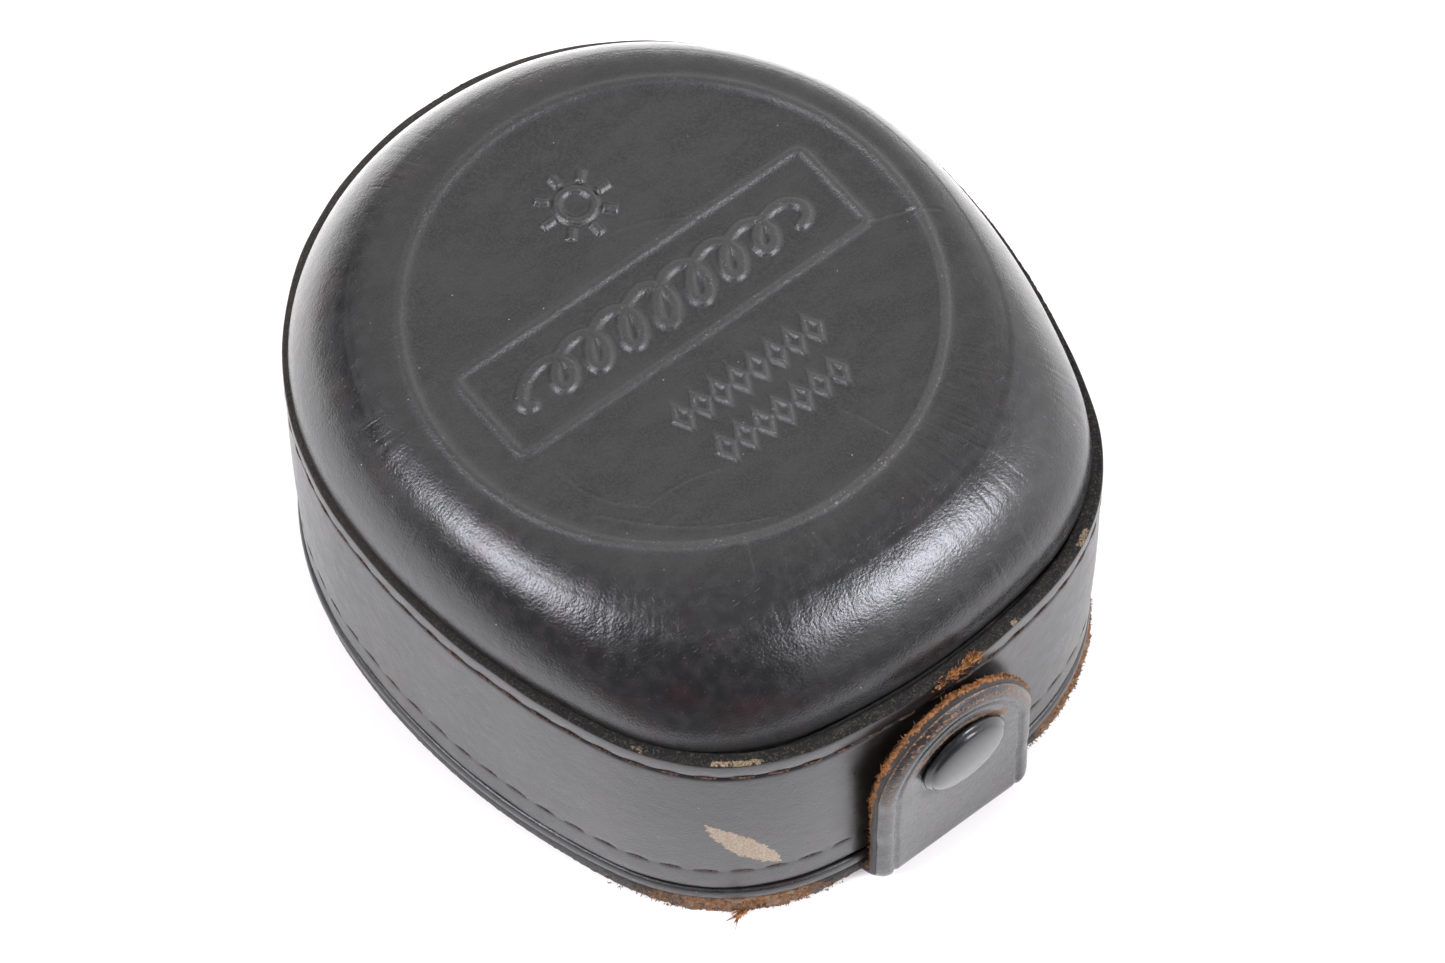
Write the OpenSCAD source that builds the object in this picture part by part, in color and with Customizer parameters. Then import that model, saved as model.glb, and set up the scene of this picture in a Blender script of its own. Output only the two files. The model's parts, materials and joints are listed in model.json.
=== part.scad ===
/* [Case outline] */
// Distance from the origin to the rearmost point of the band
rear_y = 38; // [36:0.5:40]
// Radius of the round rear half of the outline
rear_r = 33.8; // [32:0.1:35]
// Radius of the two nearly straight flanks
flank_r = 68.4; // [62:0.2:75]
// Radius of the two front corners
corner_r = 21.3; // [19:0.1:24]

/* [Case heights] */
// Overall height of the closed case without its raised ornament
case_h = 40.5; // [39.6:0.1:43]
// Height of the upper seam, where the band ends and the dome begins
seam_h = 29.2; // [28.8:0.1:29.6]
// Thickness of the base leather
base_t = 2.2; // [1.8:0.1:2.2]

/* [Case leather] */
// Thickness of the band leather
band_t = 1.5; // [1.2:0.1:1.5]
// Thickness of the dome leather
dome_t = 1.2; // [0.9:0.1:1.2]
// Mean distance of the dome's foot from the band's outer edge
dome_foot = 1.6; // [1.5:0.1:1.8]
// Radius of the flat top of the dome
plateau_r = 26; // [25.9:0.1:27.5]
// Radius of the raised ring on the flat top
ring_r = 25; // [23:0.1:25.4]
// Pitch of the stitches
stitch_pitch = 3.3; // [3:0.1:4]

/* [Tongue] */
// Width of the closing tongue
tongue_w = 18.4; // [16:0.2:20]
// Height of the closing tongue
tongue_h = 28.2; // [27:0.2:29]
// Thickness of the tongue leather
tongue_t = 1.9; // [1.6:0.1:2]
// Sideways offset of the tongue
tongue_x = -0.6; // [-3:0.1:3]
// Lean of the closed tongue away from the band
tongue_lean = 1.5; // [1.5:0.1:4]
// Diameter of the snap cap
cap_d = 9.5; // [8:0.5:11]

/* [Meter] */
// Diameter of the turning dial
dial_d = 46; // [44:0.5:46]
// Width of the cell window
cell_w = 28; // [22:1:28]
// Resting angle of the pointer from the middle of its scale
pointer_rest = 40; // [30:1:42]
// Radius of the release button
button_r = 2.2; // [1.8:0.1:2.3]

/* [Hidden] */

// Outline: four tangent arcs a side, each ending at one of these directions of its normal
rear_end = 84;
flank_end = 114;
corner_end = 168;
facets = 120;
front_r = (rear_r * sin(rear_end) + flank_r * (sin(flank_end) - sin(rear_end))
    + corner_r * (sin(corner_end) - sin(flank_end))) / sin(corner_end);
front_y = rear_y + rear_r * (cos(rear_end) - 1) + flank_r * (cos(flank_end) - cos(rear_end))
    + corner_r * (cos(corner_end) - cos(flank_end)) + front_r * (-1 - cos(corner_end));

// Clearances
gap = 0.1;
run = 0.06;

// Shell
base_lip = 0.3;
shell_z = base_t + gap;
welt_h = 1.9;
welt_bulge = 0.25;
band_z = shell_z + welt_h;
groove_d = 0.45;
groove_h = 0.9;
top_row_z = seam_h - 2.5;
bottom_row_z = band_z + 3.8;
flange_t = 1;
flange_in = band_t + 0.05;
dome_in = flange_in + flange_t + gap;
lip_z = seam_h + gap;
moat_z = 24.4;
moat_t = 1.2;
lining_t = 0.5;
dome_steps = 9;
relief_h = 0.25;

// Hinges
hinge_y = rear_y + 0.5;
hinge_z = base_t + gap;
hinge_half_w = 11;
hinge_t = 1.1;
hinge_h = 11;
fold_r = tongue_t / 2;
fold_z = fold_r + 0.05;
fold_y = front_y - welt_bulge - gap - fold_r;
snap_z = 19;
barrel_r = 1.1;
stud_r = 1.5;
stud_reach = 0.78;
socket_r = 3.6;
socket_bore = 2.1;
socket_proud = 0.35;
socket_sunk = 0.8;

// Meter
felt_t = 0.5;
felt_z = base_t + felt_t;
meter_in = 6.2;
wall = 1.6;
meter_z = felt_z + 0.05;
floor_z = meter_z + 1.5;
split_z = 7;
roof_z = 27;
roof_t = 1.6;
roof_under = roof_z - roof_t;
dial_r = dial_d / 2;
collar_r = 18.4;
collar_bore = 16.2;
glass_seat_r = 16.9;
collar_z = 33.4;
ledge_z = 28;
ledge_bore = 15;
pivot_y = -7;
coil_low = 9;
coil_high = 19;
spindle_r = 0.35;
post_x = 13.5;
window_z0 = 9.5;
window_z1 = 21.5;
lens_y = -33;
filter_w = 14.3;
filter_y = -30.6;
filter_t = 0.4;
corner_x = 17;
corner_y = -21;
screw_xy = [[-20, 12], [20, 12], [0, 26]];

function band_limit(a, low, high) = min(max(a, low), high);

// Point of the outline, moved inward by d, whose outward normal points a degrees from +Y
function half_x(a, d) = (rear_r - d) * sin(band_limit(a, 0, rear_end))
    + (flank_r - d) * (sin(band_limit(a, rear_end, flank_end)) - sin(rear_end))
    + (corner_r - d) * (sin(band_limit(a, flank_end, corner_end)) - sin(flank_end))
    + (front_r - d) * (sin(band_limit(a, corner_end, 180)) - sin(corner_end));
function half_y(a, d) = rear_y - d + (rear_r - d) * (cos(band_limit(a, 0, rear_end)) - 1)
    + (flank_r - d) * (cos(band_limit(a, rear_end, flank_end)) - cos(rear_end))
    + (corner_r - d) * (cos(band_limit(a, flank_end, corner_end)) - cos(flank_end))
    + (front_r - d) * (cos(band_limit(a, corner_end, 180)) - cos(corner_end));
function rim_pt(a, d) = a <= 180 ? [half_x(a, d), half_y(a, d)] : [-half_x(360 - a, d), half_y(360 - a, d)];
function rim(d, n = facets) = [for (i = [n - 1:-1:0]) rim_pt(i * 360 / n, d)];

// Arc lengths, and the direction of the normal at a length s from the rear
rear_len = rear_r * rear_end * PI / 180;
flank_len = flank_r * (flank_end - rear_end) * PI / 180;
corner_len = corner_r * (corner_end - flank_end) * PI / 180;
front_len = front_r * (180 - corner_end) * PI / 180;
half_len = rear_len + flank_len + corner_len + front_len;
function dir_half(s) =
    s < rear_len ? s / rear_r * 180 / PI
    : s < rear_len + flank_len ? rear_end + (s - rear_len) / flank_r * 180 / PI
    : s < rear_len + flank_len + corner_len ? flank_end + (s - rear_len - flank_len) / corner_r * 180 / PI
    : corner_end + (s - rear_len - flank_len - corner_len) / front_r * 180 / PI;
function dir_at(s) = s <= half_len ? dir_half(s) : 360 - dir_half(2 * half_len - s);

// Ring wall between two inward offsets
module rim_wall(outer, inner, z0, z1) {
    translate([0, 0, z0])
        linear_extrude(z1 - z0)
            difference() {
                polygon(rim(outer));
                polygon(rim(inner));
            }
}

module rim_slab(outer, z0, z1) {
    translate([0, 0, z0])
        linear_extrude(z1 - z0)
            polygon(rim(outer));
}

// Closed solid through a stack of equal closed sections, lowest first
module loft(sections) {
    n = len(sections[0]);
    m = len(sections);
    points = [for (s = sections) for (p = s) p];
    sides = [for (j = [0:m - 2]) for (i = [0:n - 1]) for (t = [0, 1])
        t == 0 ? [j * n + i, j * n + (i + 1) % n, (j + 1) * n + (i + 1) % n]
        : [j * n + i, (j + 1) * n + (i + 1) % n, (j + 1) * n + i]];
    polyhedron(points = points,
        faces = concat([[for (i = [0:n - 1]) i]], sides, [[for (i = [n - 1:-1:0]) (m - 1) * n + i]]),
        convexity = 6);
}

// Distance of the dome's foot from the band's outer edge: widest at the rear, narrowest at the sides
function foot_at(a) = dome_foot + 0.3 * cos(a) + 0.7 * cos(2 * a);

// Section of the dome, a thickness d inside its face: t is 0 at the foot and 1 at the flat top
function dome_section(d, z0, z1, t) =
    let (f = cos(t * 90), z = z0 + (z1 - z0) * sin(t * 90), r = plateau_r - d)
    [for (i = [0:facets - 1])
        let (a = i * 360 / facets, p = rim_pt(a, foot_at(a) + d))
        [p[0] * f + r * sin(a) * (1 - f), p[1] * f + r * cos(a) * (1 - f), z]];
function rim_section(d, z) = [for (i = [0:facets - 1])
    let (p = rim_pt(i * 360 / facets, d)) [p[0], p[1], z]];

module disc(r, z0, z1, n = 64) {
    translate([0, 0, z0])
        cylinder(r = r, h = z1 - z0, $fn = n);
}

module tube(r_out, r_in, z0, z1, n = 64) {
    difference() {
        disc(r_out, z0, z1, n);
        disc(r_in, z0 - 1, z1 + 1, n);
    }
}

module box(x0, x1, y0, y1, z0, z1) {
    translate([x0, y0, z0])
        cube([x1 - x0, y1 - y0, z1 - z0]);
}

// One row of thread stitches lying in its groove
module stitch_row(z, first, last) {
    count = floor((last - first) / stitch_pitch);
    for (i = [0:count - 1]) {
        a = dir_at(first + (i + 0.5) * stitch_pitch);
        p = rim_pt(a, 0.23);
        translate([p[0], p[1], z])
            rotate([0, 0, -a])
                rotate([0, 90, 0])
                    cylinder(r = 0.2, h = 1.9, center = true, $fn = 16);
    }
}

/* ---- Case: base ---- */
module base_panel() {
    color([0.12, 0.11, 0.11])
        difference() {
            rim_slab(-base_lip, 0, base_t);
            box(tongue_x - tongue_w / 2 - gap, tongue_x + tongue_w / 2 + gap,
                front_y - 5, fold_y + fold_r + gap, -1, base_t + 1);
        }
}

module base_lining() {
    color([0.35, 0.08, 0.08])
        rim_slab(meter_in - 0.1, base_t, felt_z);
}

// Low moulded wall that the meter's housing nests in
module meter_cradle() {
    color([0.08, 0.08, 0.08])
        rim_wall(4.6, meter_in - 0.15, base_t, 8);
}

/* ---- Case: tongue ---- */
// Drawn upright with the fold's axis along X through the origin, then leaned outward
module lean_out() {
    translate([tongue_x, fold_y, fold_z])
        rotate([tongue_lean, 0, 0])
            children();
}

module tongue_plate(inset, y0, y1) {
    half = tongue_w / 2 - inset;
    top = tongue_h - fold_z - inset;
    arch = top - tongue_w * 0.62;
    translate([0, y1, 0])
        rotate([90, 0, 0])
            linear_extrude(y1 - y0)
                polygon(concat([[-half, 0], [half, 0]],
                    [for (i = [0:24]) [half * cos(i * 7.5), arch + (top - arch) * sin(i * 7.5)]]));
}

module tongue() {
    color([0.1, 0.1, 0.1])
        difference() {
            lean_out() {
                tongue_plate(0, -fold_r + 0.5, fold_r);
                tongue_plate(0.7, -fold_r, -fold_r + 0.5);
                rotate([0, 90, 0])
                    cylinder(r = fold_r, h = tongue_w, center = true, $fn = 32);
            }
            lean_out()
                translate([0, 0, snap_z - fold_z])
                    rotate([90, 0, 0]) {
                        cylinder(r = barrel_r + run, h = 10, center = true, $fn = 32);
                        translate([0, 0, -fold_r - 1])
                            cylinder(r = socket_r + run, h = socket_sunk + 1 + run, $fn = 64);
                    }
        }
}

// Domed cap outside, with the barrel that goes through the leather
module snap_cap() {
    cap_r = cap_d / 2;
    cap_h = 1.5;
    bulge_r = (cap_r * cap_r + cap_h * cap_h) / (2 * cap_h);
    color([0.05, 0.05, 0.05])
        lean_out()
            translate([0, -fold_r, snap_z - fold_z])
                rotate([90, 0, 0]) {
                    intersection() {
                        translate([0, 0, cap_h - bulge_r])
                            sphere(r = bulge_r, $fn = 64);
                        cylinder(r = cap_r - 0.05, h = cap_h + 1, $fn = 64);
                    }
                    translate([0, 0, socket_sunk + run - tongue_t])
                        cylinder(r = barrel_r, h = tongue_t - socket_sunk, $fn = 32);
                }
}

// Spring socket sunk in the leather; its proud rim is open upward, so the stud can leave it by rising
module snap_socket() {
    color([0.6, 0.6, 0.58])
        lean_out()
            translate([0, fold_r, snap_z - fold_z])
                rotate([90, 0, 0])
                    difference() {
                        translate([0, 0, -socket_proud])
                            cylinder(r = socket_r, h = socket_proud + socket_sunk, $fn = 64);
                        translate([0, 0, -1])
                            cylinder(r = socket_bore, h = 1 + run, $fn = 64);
                        translate([-socket_bore, 0, -1])
                            cube([2 * socket_bore, socket_r + 1, 1]);
                    }
}

/* ---- Case: shell ---- */
module side_band() {
    color([0.11, 0.11, 0.11])
        difference() {
            rim_wall(0, band_t, band_z, seam_h);
            difference() {
                rim_slab(-1, top_row_z - groove_h / 2, top_row_z + groove_h / 2);
                rim_slab(groove_d, 0, seam_h + 1);
            }
            difference() {
                rim_slab(-1, bottom_row_z - groove_h / 2, bottom_row_z + groove_h / 2);
                rim_slab(groove_d, 0, seam_h + 1);
            }
            translate([tongue_x, front_y, snap_z])
                rotate([90, 0, 0])
                    cylinder(r = barrel_r + run, h = 8, center = true, $fn = 32);
        }
}

// Rolled bead that finishes the band's lower edge
module bottom_welt() {
    color([0.09, 0.09, 0.09])
        difference() {
            loft([
                rim_section(0.25, shell_z),
                rim_section(-0.1, shell_z + 0.3),
                rim_section(-welt_bulge, shell_z + 0.95),
                rim_section(-0.1, shell_z + 1.6),
                rim_section(0.25, band_z)
            ]);
            rim_slab(band_t + lining_t + 0.1, 0, 10);
        }
}

// The dome's foot overhangs the band's top edge; its wall goes on down inside to a turned flange
module top_shell() {
    z0 = moat_z;
    color([0.13, 0.13, 0.13])
        union() {
            difference() {
                loft(concat(
                    [rim_section(dome_in, z0), rim_section(dome_in, seam_h - gap)],
                    [for (i = [0:dome_steps]) dome_section(0, lip_z, case_h, i / dome_steps)]));
                loft(concat(
                    [rim_section(dome_in + dome_t, z0 - 1), rim_section(dome_in + dome_t, lip_z)],
                    [for (i = [0:dome_steps]) dome_section(dome_t, lip_z + dome_t, case_h - dome_t,
                        i / dome_steps)]));
            }
            rim_wall(flange_in, dome_in + dome_t, z0, z0 + moat_t);
            rim_wall(flange_in, flange_in + flange_t, z0, seam_h - 0.2);
            tube(ring_r + 0.4, ring_r - 0.4, case_h - 0.4, case_h + relief_h, 96);
            top_frame();
        }
}

// Raised frame round a chain of plain loops, a small sun above it and two rows of lozenges below
module top_frame() {
    frame_y = 1.25;
    frame_w = 40.9;
    frame_d = 11;
    line = 0.7;
    loop_pitch = 4.1;
    sun_y = 14.3;
    lozenge_pitch = 2.15;
    lozenge_x = 1.2;
    rows = [[-9.5, 8], [-14.5, 7]];
    z0 = case_h - 0.4;
    z1 = case_h + relief_h;
    translate([0, frame_y, z0])
        linear_extrude(z1 - z0)
            difference() {
                square([frame_w, frame_d], center = true);
                square([frame_w - 2 * line, frame_d - 2 * line], center = true);
            }
    for (i = [-3.5:3.5])
        translate([i * loop_pitch, frame_y, 0])
            tube(2.5, 2, z0, z1, 32);
    translate([0, sun_y, 0]) {
        tube(2, 1.5, z0, z1, 32);
        for (i = [0:7])
            rotate(i * 45)
                box(2.6, 3.8, -0.25, 0.25, z0, z1);
    }
    for (row = rows)
        for (i = [0:row[1] - 1])
            translate([(i - (row[1] - 1) / 2) * lozenge_pitch + lozenge_x, row[0], z0])
                linear_extrude(z1 - z0)
                    polygon([[-0.7, 0], [0, -1.3], [0.7, 0], [0, 1.3]]);
}

module shell_lining() {
    color([0.35, 0.08, 0.08])
        difference() {
            rim_wall(band_t + 0.05, band_t + 0.05 + lining_t, band_z, moat_z - 0.1);
            translate([tongue_x, front_y, snap_z])
                rotate([90, 0, 0])
                    cylinder(r = 2.1, h = 8, center = true, $fn = 32);
        }
}

module top_stitches() {
    color([0.2, 0.18, 0.16])
        stitch_row(top_row_z, 0, 2 * half_len);
}

module bottom_stitches() {
    color([0.2, 0.18, 0.16])
        stitch_row(bottom_row_z, 0, 2 * half_len);
}

// Stud on the band, with its washer inside
module snap_stud() {
    flange_r = 3;
    plate_t = 0.26;
    washer_r = 2;
    washer_t = 0.4;
    color([0.6, 0.6, 0.58])
        translate([tongue_x, front_y, snap_z])
            rotate([90, 0, 0]) {
                translate([0, 0, run])
                    cylinder(r = flange_r, h = plate_t, $fn = 48);
                translate([0, 0, -band_t - washer_t])
                    cylinder(r = barrel_r, h = band_t + washer_t + stud_reach, $fn = 32);
                translate([0, 0, stud_reach - plate_t])
                    cylinder(r = stud_r, h = plate_t, $fn = 32);
                translate([0, 0, -band_t - washer_t - run])
                    cylinder(r = washer_r, h = washer_t, $fn = 32);
            }
}

// Leather strip along the rear that joins base and shell
module rear_hinge() {
    color([0.12, 0.11, 0.11])
        intersection() {
            rim_wall(-hinge_t - 0.32, -0.32, 0.1, hinge_h);
            box(-hinge_half_w, hinge_half_w, rear_y - 6, rear_y + 4, 0, hinge_h + 1);
        }
}

module hinge_stitches() {
    color([0.2, 0.18, 0.16])
        for (i = [-3:3]) {
            a = (i * stitch_pitch / rear_r) * 180 / PI;
            p = rim_pt(a < 0 ? a + 360 : a, -hinge_t - 0.55);
            translate([p[0], p[1], hinge_h - 1.6])
                rotate([0, 0, -a])
                    rotate([0, 90, 0])
                        cylinder(r = 0.2, h = 1.9, center = true, $fn = 16);
        }
}

/* ---- Meter: housing ---- */
module screw_holes(r, z0, z1) {
    for (p = screw_xy)
        translate([p[0], p[1], 0])
            disc(r, z0, z1, 32);
}

module meter_back() {
    color([0.85, 0.8, 0.68])
        difference() {
            union() {
                difference() {
                    rim_slab(meter_in, meter_z, split_z);
                    rim_slab(meter_in + wall, floor_z, split_z + 1);
                }
                for (x = [-post_x, post_x])
                    translate([x, pivot_y, 0])
                        disc(2, floor_z - 0.2, 5.6, 32);
                for (p = screw_xy)
                    translate([p[0], p[1], 0])
                        disc(3, floor_z - 0.2, split_z, 32);
                translate([-corner_x, corner_y, 0])
                    disc(2.6, floor_z - 0.2, 12, 32);
            }
            screw_holes(1.05, meter_z - 1, split_z + 1);
            screw_holes(2.05, meter_z - 1, meter_z + 1.15);
        }
}

module meter_front() {
    color([0.85, 0.8, 0.68])
        difference() {
            union() {
                difference() {
                    loft([
                        rim_section(meter_in, split_z),
                        rim_section(meter_in, roof_z - 2.4),
                        rim_section(meter_in + 0.35, roof_z - 1.2),
                        rim_section(meter_in + 1, roof_z - 0.4),
                        rim_section(meter_in + 2, roof_z)
                    ]);
                    rim_slab(meter_in + wall, split_z - 1, roof_under - 1.2);
                    rim_slab(meter_in + wall + 1.2, split_z - 1, roof_under);
                }
                disc(collar_r, roof_under, collar_z, 96);
                for (p = screw_xy)
                    translate([p[0], p[1], 0])
                        disc(3, split_z, roof_under + 0.2, 32);
                for (x = [-1, 1])
                    box(x * 15.6 - 0.8, x * 15.6 + 0.8, -30.6, -26, split_z + 1, roof_under + 0.2);
            }
            disc(collar_bore, ledge_z, collar_z + 1, 96);
            disc(glass_seat_r, 32, collar_z + 1, 96);
            disc(ledge_bore, roof_under - 1, ledge_z + 1, 96);
            box(-cell_w / 2, cell_w / 2, front_y, -30, window_z0, window_z1);
            screw_holes(1.02, split_z - 1, 13);
            translate([-corner_x, corner_y, 0])
                disc(button_r + run, roof_under - 1, roof_z + 1, 48);
            translate([corner_x, corner_y, 0]) {
                disc(1.2 + run, roof_under - 1, roof_z + 1, 32);
                disc(2.1 + run, roof_z - 0.8, roof_z + 1, 32);
            }
        }
}

module housing_screws() {
    color([0.7, 0.7, 0.7])
        for (p = screw_xy)
            translate([p[0], p[1], 0])
                difference() {
                    union() {
                        disc(2, meter_z + 0.1, meter_z + 1.1, 32);
                        disc(0.98, meter_z + 1, 12, 24);
                    }
                    box(-2.5, 2.5, -0.25, 0.25, meter_z - 0.5, meter_z + 0.5);
                }
}

/* ---- Meter: dial ---- */
module dial_ring() {
    grooves = 48;
    low = roof_z + 0.2;
    high = collar_z - 0.2;
    color([0.1, 0.1, 0.1])
        difference() {
            union() {
                disc(dial_r, low, high - 2, 96);
                disc(dial_r - 1.6, low, high, 96);
            }
            disc(collar_r + run, low - 1, high + 1, 96);
            for (i = [0:grooves - 1])
                rotate([0, 0, i * 360 / grooves])
                    translate([dial_r + 0.25, 0, 0])
                        disc(0.75, low - 1, high, 24);
        }
}

module dial_ticks() {
    ticks = 24;
    color([0.92, 0.92, 0.88])
        for (i = [0:ticks - 1])
            rotate([0, 0, i * 360 / ticks])
                box(collar_r + 0.7, collar_r + (i % 4 == 0 ? 2.6 : 1.8), -0.15, 0.15,
                    collar_z - 0.2, collar_z - 0.12);
}

module dial_bezel() {
    color([0.75, 0.75, 0.75])
        tube(19.4, 15.6, collar_z, collar_z + 0.9, 96);
}

module window_glass() {
    color([0.8, 0.9, 0.9, 0.35])
        disc(glass_seat_r - 0.05, 32, 33.35, 96);
}

module scale_plate() {
    color([0.93, 0.91, 0.84])
        difference() {
            disc(collar_bore - 0.05, ledge_z, ledge_z + 0.5, 96);
            translate([0, pivot_y, ledge_z])
                rotate([0, 0, 90 - 48])
                    rotate_extrude(angle = 96, $fn = 96)
                        translate([8.9, -1])
                            square([2.6, 3]);
        }
}

module scale_marks() {
    color([0.1, 0.1, 0.1])
        for (i = [0:10])
            translate([0, pivot_y, 0])
                rotate([0, 0, 90 + pointer_rest - i * pointer_rest / 5])
                    box(i % 5 == 0 ? 14.2 : 15, 16.2, -0.15, 0.15, ledge_z + 0.5, ledge_z + 0.58);
}

/* ---- Meter: movement ---- */
module at_pivot() {
    translate([0, pivot_y, 0])
        rotate([0, 0, pointer_rest])
            children();
}

// Arm under the scale plate, riser through its slot and blade above it
module pointer() {
    color([0.8, 0.1, 0.08])
        at_pivot() {
            disc(1.2, coil_high + 0.1, coil_high + 0.9, 32);
            box(-0.5, 0.5, -4.5, 10.4, coil_high + 0.3, coil_high + 0.8);
            box(-1.3, 1.3, -5.6, -4.3, coil_high + 0.1, coil_high + 1);
            box(-0.35, 0.35, 9.8, 10.5, coil_high + 0.3, 29.7);
            box(-0.25, 0.25, 9.8, 15.6, 29.3, 29.7);
        }
}

module moving_coil() {
    color([0.72, 0.4, 0.2])
        at_pivot() {
            difference() {
                box(-7, 7, -0.8, 0.8, coil_low, coil_high);
                box(-5.7, 5.7, -1, 1, coil_low + 0.8, coil_high - 0.8);
            }
            disc(spindle_r, coil_high - 0.2, coil_high + 0.1, 24);
            disc(spindle_r, coil_high + 0.9, 22.9, 24);
            disc(spindle_r, 6.4, coil_low + 0.2, 24);
            disc(0.8, 8.3, coil_low + 0.1, 24);
        }
}

module magnet() {
    color([0.35, 0.35, 0.38])
        box(-11.8, 11.8, 2.1, 8, 9.5, 18.5);
}

module pole_pieces() {
    color([0.5, 0.5, 0.52])
        for (s = [-1, 1])
            difference() {
                box(s < 0 ? -11.8 : 4, s < 0 ? -4 : 11.8, pivot_y - 5, 2, 9.5, 18.5);
                translate([0, pivot_y, 0])
                    disc(8, 9, 19, 64);
                box(-4.5, 4.5, pivot_y - 6, 3, 9, 19);
            }
}

module iron_core() {
    color([0.45, 0.45, 0.47])
        translate([0, pivot_y, 0]) {
            disc(4.6, 10.4, 17.6, 48);
            box(-1.2, 1.2, -9, -4, 13, 15);
            box(-1.2, 1.2, -9, -6.8, 7.05, 15);
        }
}

module movement_bridges() {
    color([0.78, 0.66, 0.35])
        translate([0, pivot_y, 0])
            difference() {
                union() {
                    box(-15.2, 15.2, -2.4, 2.4, 5.65, 7);
                    box(-1.2, 1.2, -9, -2, 5.65, 7);
                    box(-15.2, 15.2, -2.4, 2.4, 22.2, 23.5);
                    for (x = [-post_x, post_x])
                        translate([x, 0, 0])
                            disc(1.3, 6.8, 22.4, 32);
                    box(-0.3, 0.3, -4, -2.3, 22.2, 23.5);
                    box(-0.3, 0.3, -4, -3.4, 21.4, 22.3);
                    box(-0.3, 0.3, 2.3, 4, 5.65, 7);
                    box(-0.3, 0.3, 3.4, 4, 6.9, 8);
                }
                disc(1.45, 5, 24, 32);
            }
}

module jewel_screws() {
    color([0.7, 0.15, 0.25])
        translate([0, pivot_y, 0]) {
            difference() {
                disc(1.4, 22.2, 24, 32);
                disc(spindle_r + run, 22, 23.1, 24);
            }
            difference() {
                disc(1.4, 5.2, 7, 32);
                disc(spindle_r + run, 6.2, 7.2, 24);
            }
        }
}

// Flat spiral from radius r0 to r1
function spiral(r0, r1, turns, w, n = 72) = concat(
    [for (i = [0:n]) let (a = i * turns * 360 / n, r = r0 + (r1 - r0) * i / n) [r * sin(a), r * cos(a)]],
    [for (i = [n:-1:0]) let (a = i * turns * 360 / n, r = r0 + (r1 - r0) * i / n + w) [r * sin(a), r * cos(a)]]);

module hairsprings() {
    color([0.5, 0.55, 0.75])
        translate([0, pivot_y, 0]) {
            translate([0, 0, 21.4])
                linear_extrude(0.3)
                    polygon(spiral(0.5, 3.2, 3.5, 0.15));
            translate([0, 0, 7.5])
                linear_extrude(0.3)
                    polygon(spiral(0.5, 3.2, 3, 0.15));
        }
}

/* ---- Meter: cell and window ---- */
module honeycomb_lens() {
    pitch = 2.5;
    color([0.85, 0.9, 0.9, 0.4]) {
        box(-cell_w / 2 + 0.08, cell_w / 2 - 0.08, lens_y, -30.8, window_z0 + 0.08, window_z1 - 0.08);
        for (i = [-4:4])
            for (k = [0:3])
                translate([i * pitch + (k % 2) * pitch / 2, lens_y + 0.01, window_z0 + 2.3 + k * 2.45])
                    rotate([90, 0, 0])
                        cylinder(r1 = 1.15, r2 = 0.7, h = 0.45, $fn = 24);
    }
}

module red_filter() {
    color([0.75, 0.1, 0.08, 0.6])
        box(-filter_w, -0.05, filter_y, filter_y + filter_t, 8.4, 22.4);
}

module blue_filter() {
    color([0.1, 0.2, 0.7, 0.6])
        box(0.05, filter_w, filter_y, filter_y + filter_t, 8.4, 22.4);
}

module selenium_cells() {
    color([0.25, 0.24, 0.26])
        for (x = [-14.6, 0.3])
            box(x, x + 14.3, -30.1, -29.1, 8.4, 22.4);
}

module contact_springs() {
    color([0.75, 0.62, 0.3])
        for (x = [-7.4, 7.4])
            translate([x, 0, 0]) {
                box(-1, 1, -29.05, -28.8, 10, 20);
                box(-1, 1, -29.05, -24, 19.8, 20.1);
                box(-1, 1, -24.3, -24, 19.8, roof_under);
            }
}

/* ---- Meter: controls ---- */
module zero_screw() {
    color([0.75, 0.75, 0.72])
        translate([corner_x, corner_y, 0])
            difference() {
                union() {
                    disc(2.1, roof_z - 0.75, roof_z + 0.15, 32);
                    disc(1.2, 20, roof_z - 0.7, 32);
                    disc(1.8, 20, 20.8, 32);
                }
                box(-2.4, 2.4, -0.25, 0.25, roof_z - 0.3, roof_z + 1);
            }
}

module release_button() {
    color([0.7, 0.68, 0.6])
        translate([-corner_x, corner_y, 0]) {
            disc(button_r, roof_under - 0.3, roof_z + 2, 48);
            disc(3, roof_under - 1.4, roof_under - 0.1, 48);
            disc(1.35, 17, roof_under - 1.2, 32);
        }
}

// Round wire wound as a helix
module button_spring() {
    coil_r = 2.1;
    wire_r = 0.28;
    turns = 6;
    ring_n = 8;
    step_n = 16;
    z0 = 12 + wire_r;
    z1 = roof_under - 1.4 - wire_r;
    steps = turns * step_n;
    color([0.7, 0.7, 0.72])
        translate([-corner_x, corner_y, 0])
            loft([for (i = [0:steps])
                let (a = i * 360 / step_n, z = z0 + (z1 - z0) * i / steps)
                [for (k = [0:ring_n - 1])
                    let (b = k * 360 / ring_n, r = coil_r + wire_r * cos(b))
                    [r * cos(a), r * sin(a), z + wire_r * sin(b)]]]);
}

base_panel();
base_lining();
meter_cradle();
tongue();
snap_cap();
snap_socket();
side_band();
bottom_welt();
top_shell();
shell_lining();
top_stitches();
bottom_stitches();
snap_stud();
rear_hinge();
hinge_stitches();
meter_back();
meter_front();
dial_ring();
dial_ticks();
dial_bezel();
scale_plate();
scale_marks();
window_glass();
pointer();
moving_coil();
magnet();
pole_pieces();
iron_core();
movement_bridges();
jewel_screws();
hairsprings();
honeycomb_lens();
red_filter();
blue_filter();
selenium_cells();
contact_springs();
zero_screw();
release_button();
button_spring();
housing_screws();
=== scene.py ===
import json
import math
import bpy
import numpy as np
from mathutils import Matrix, Quaternion, Vector


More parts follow.
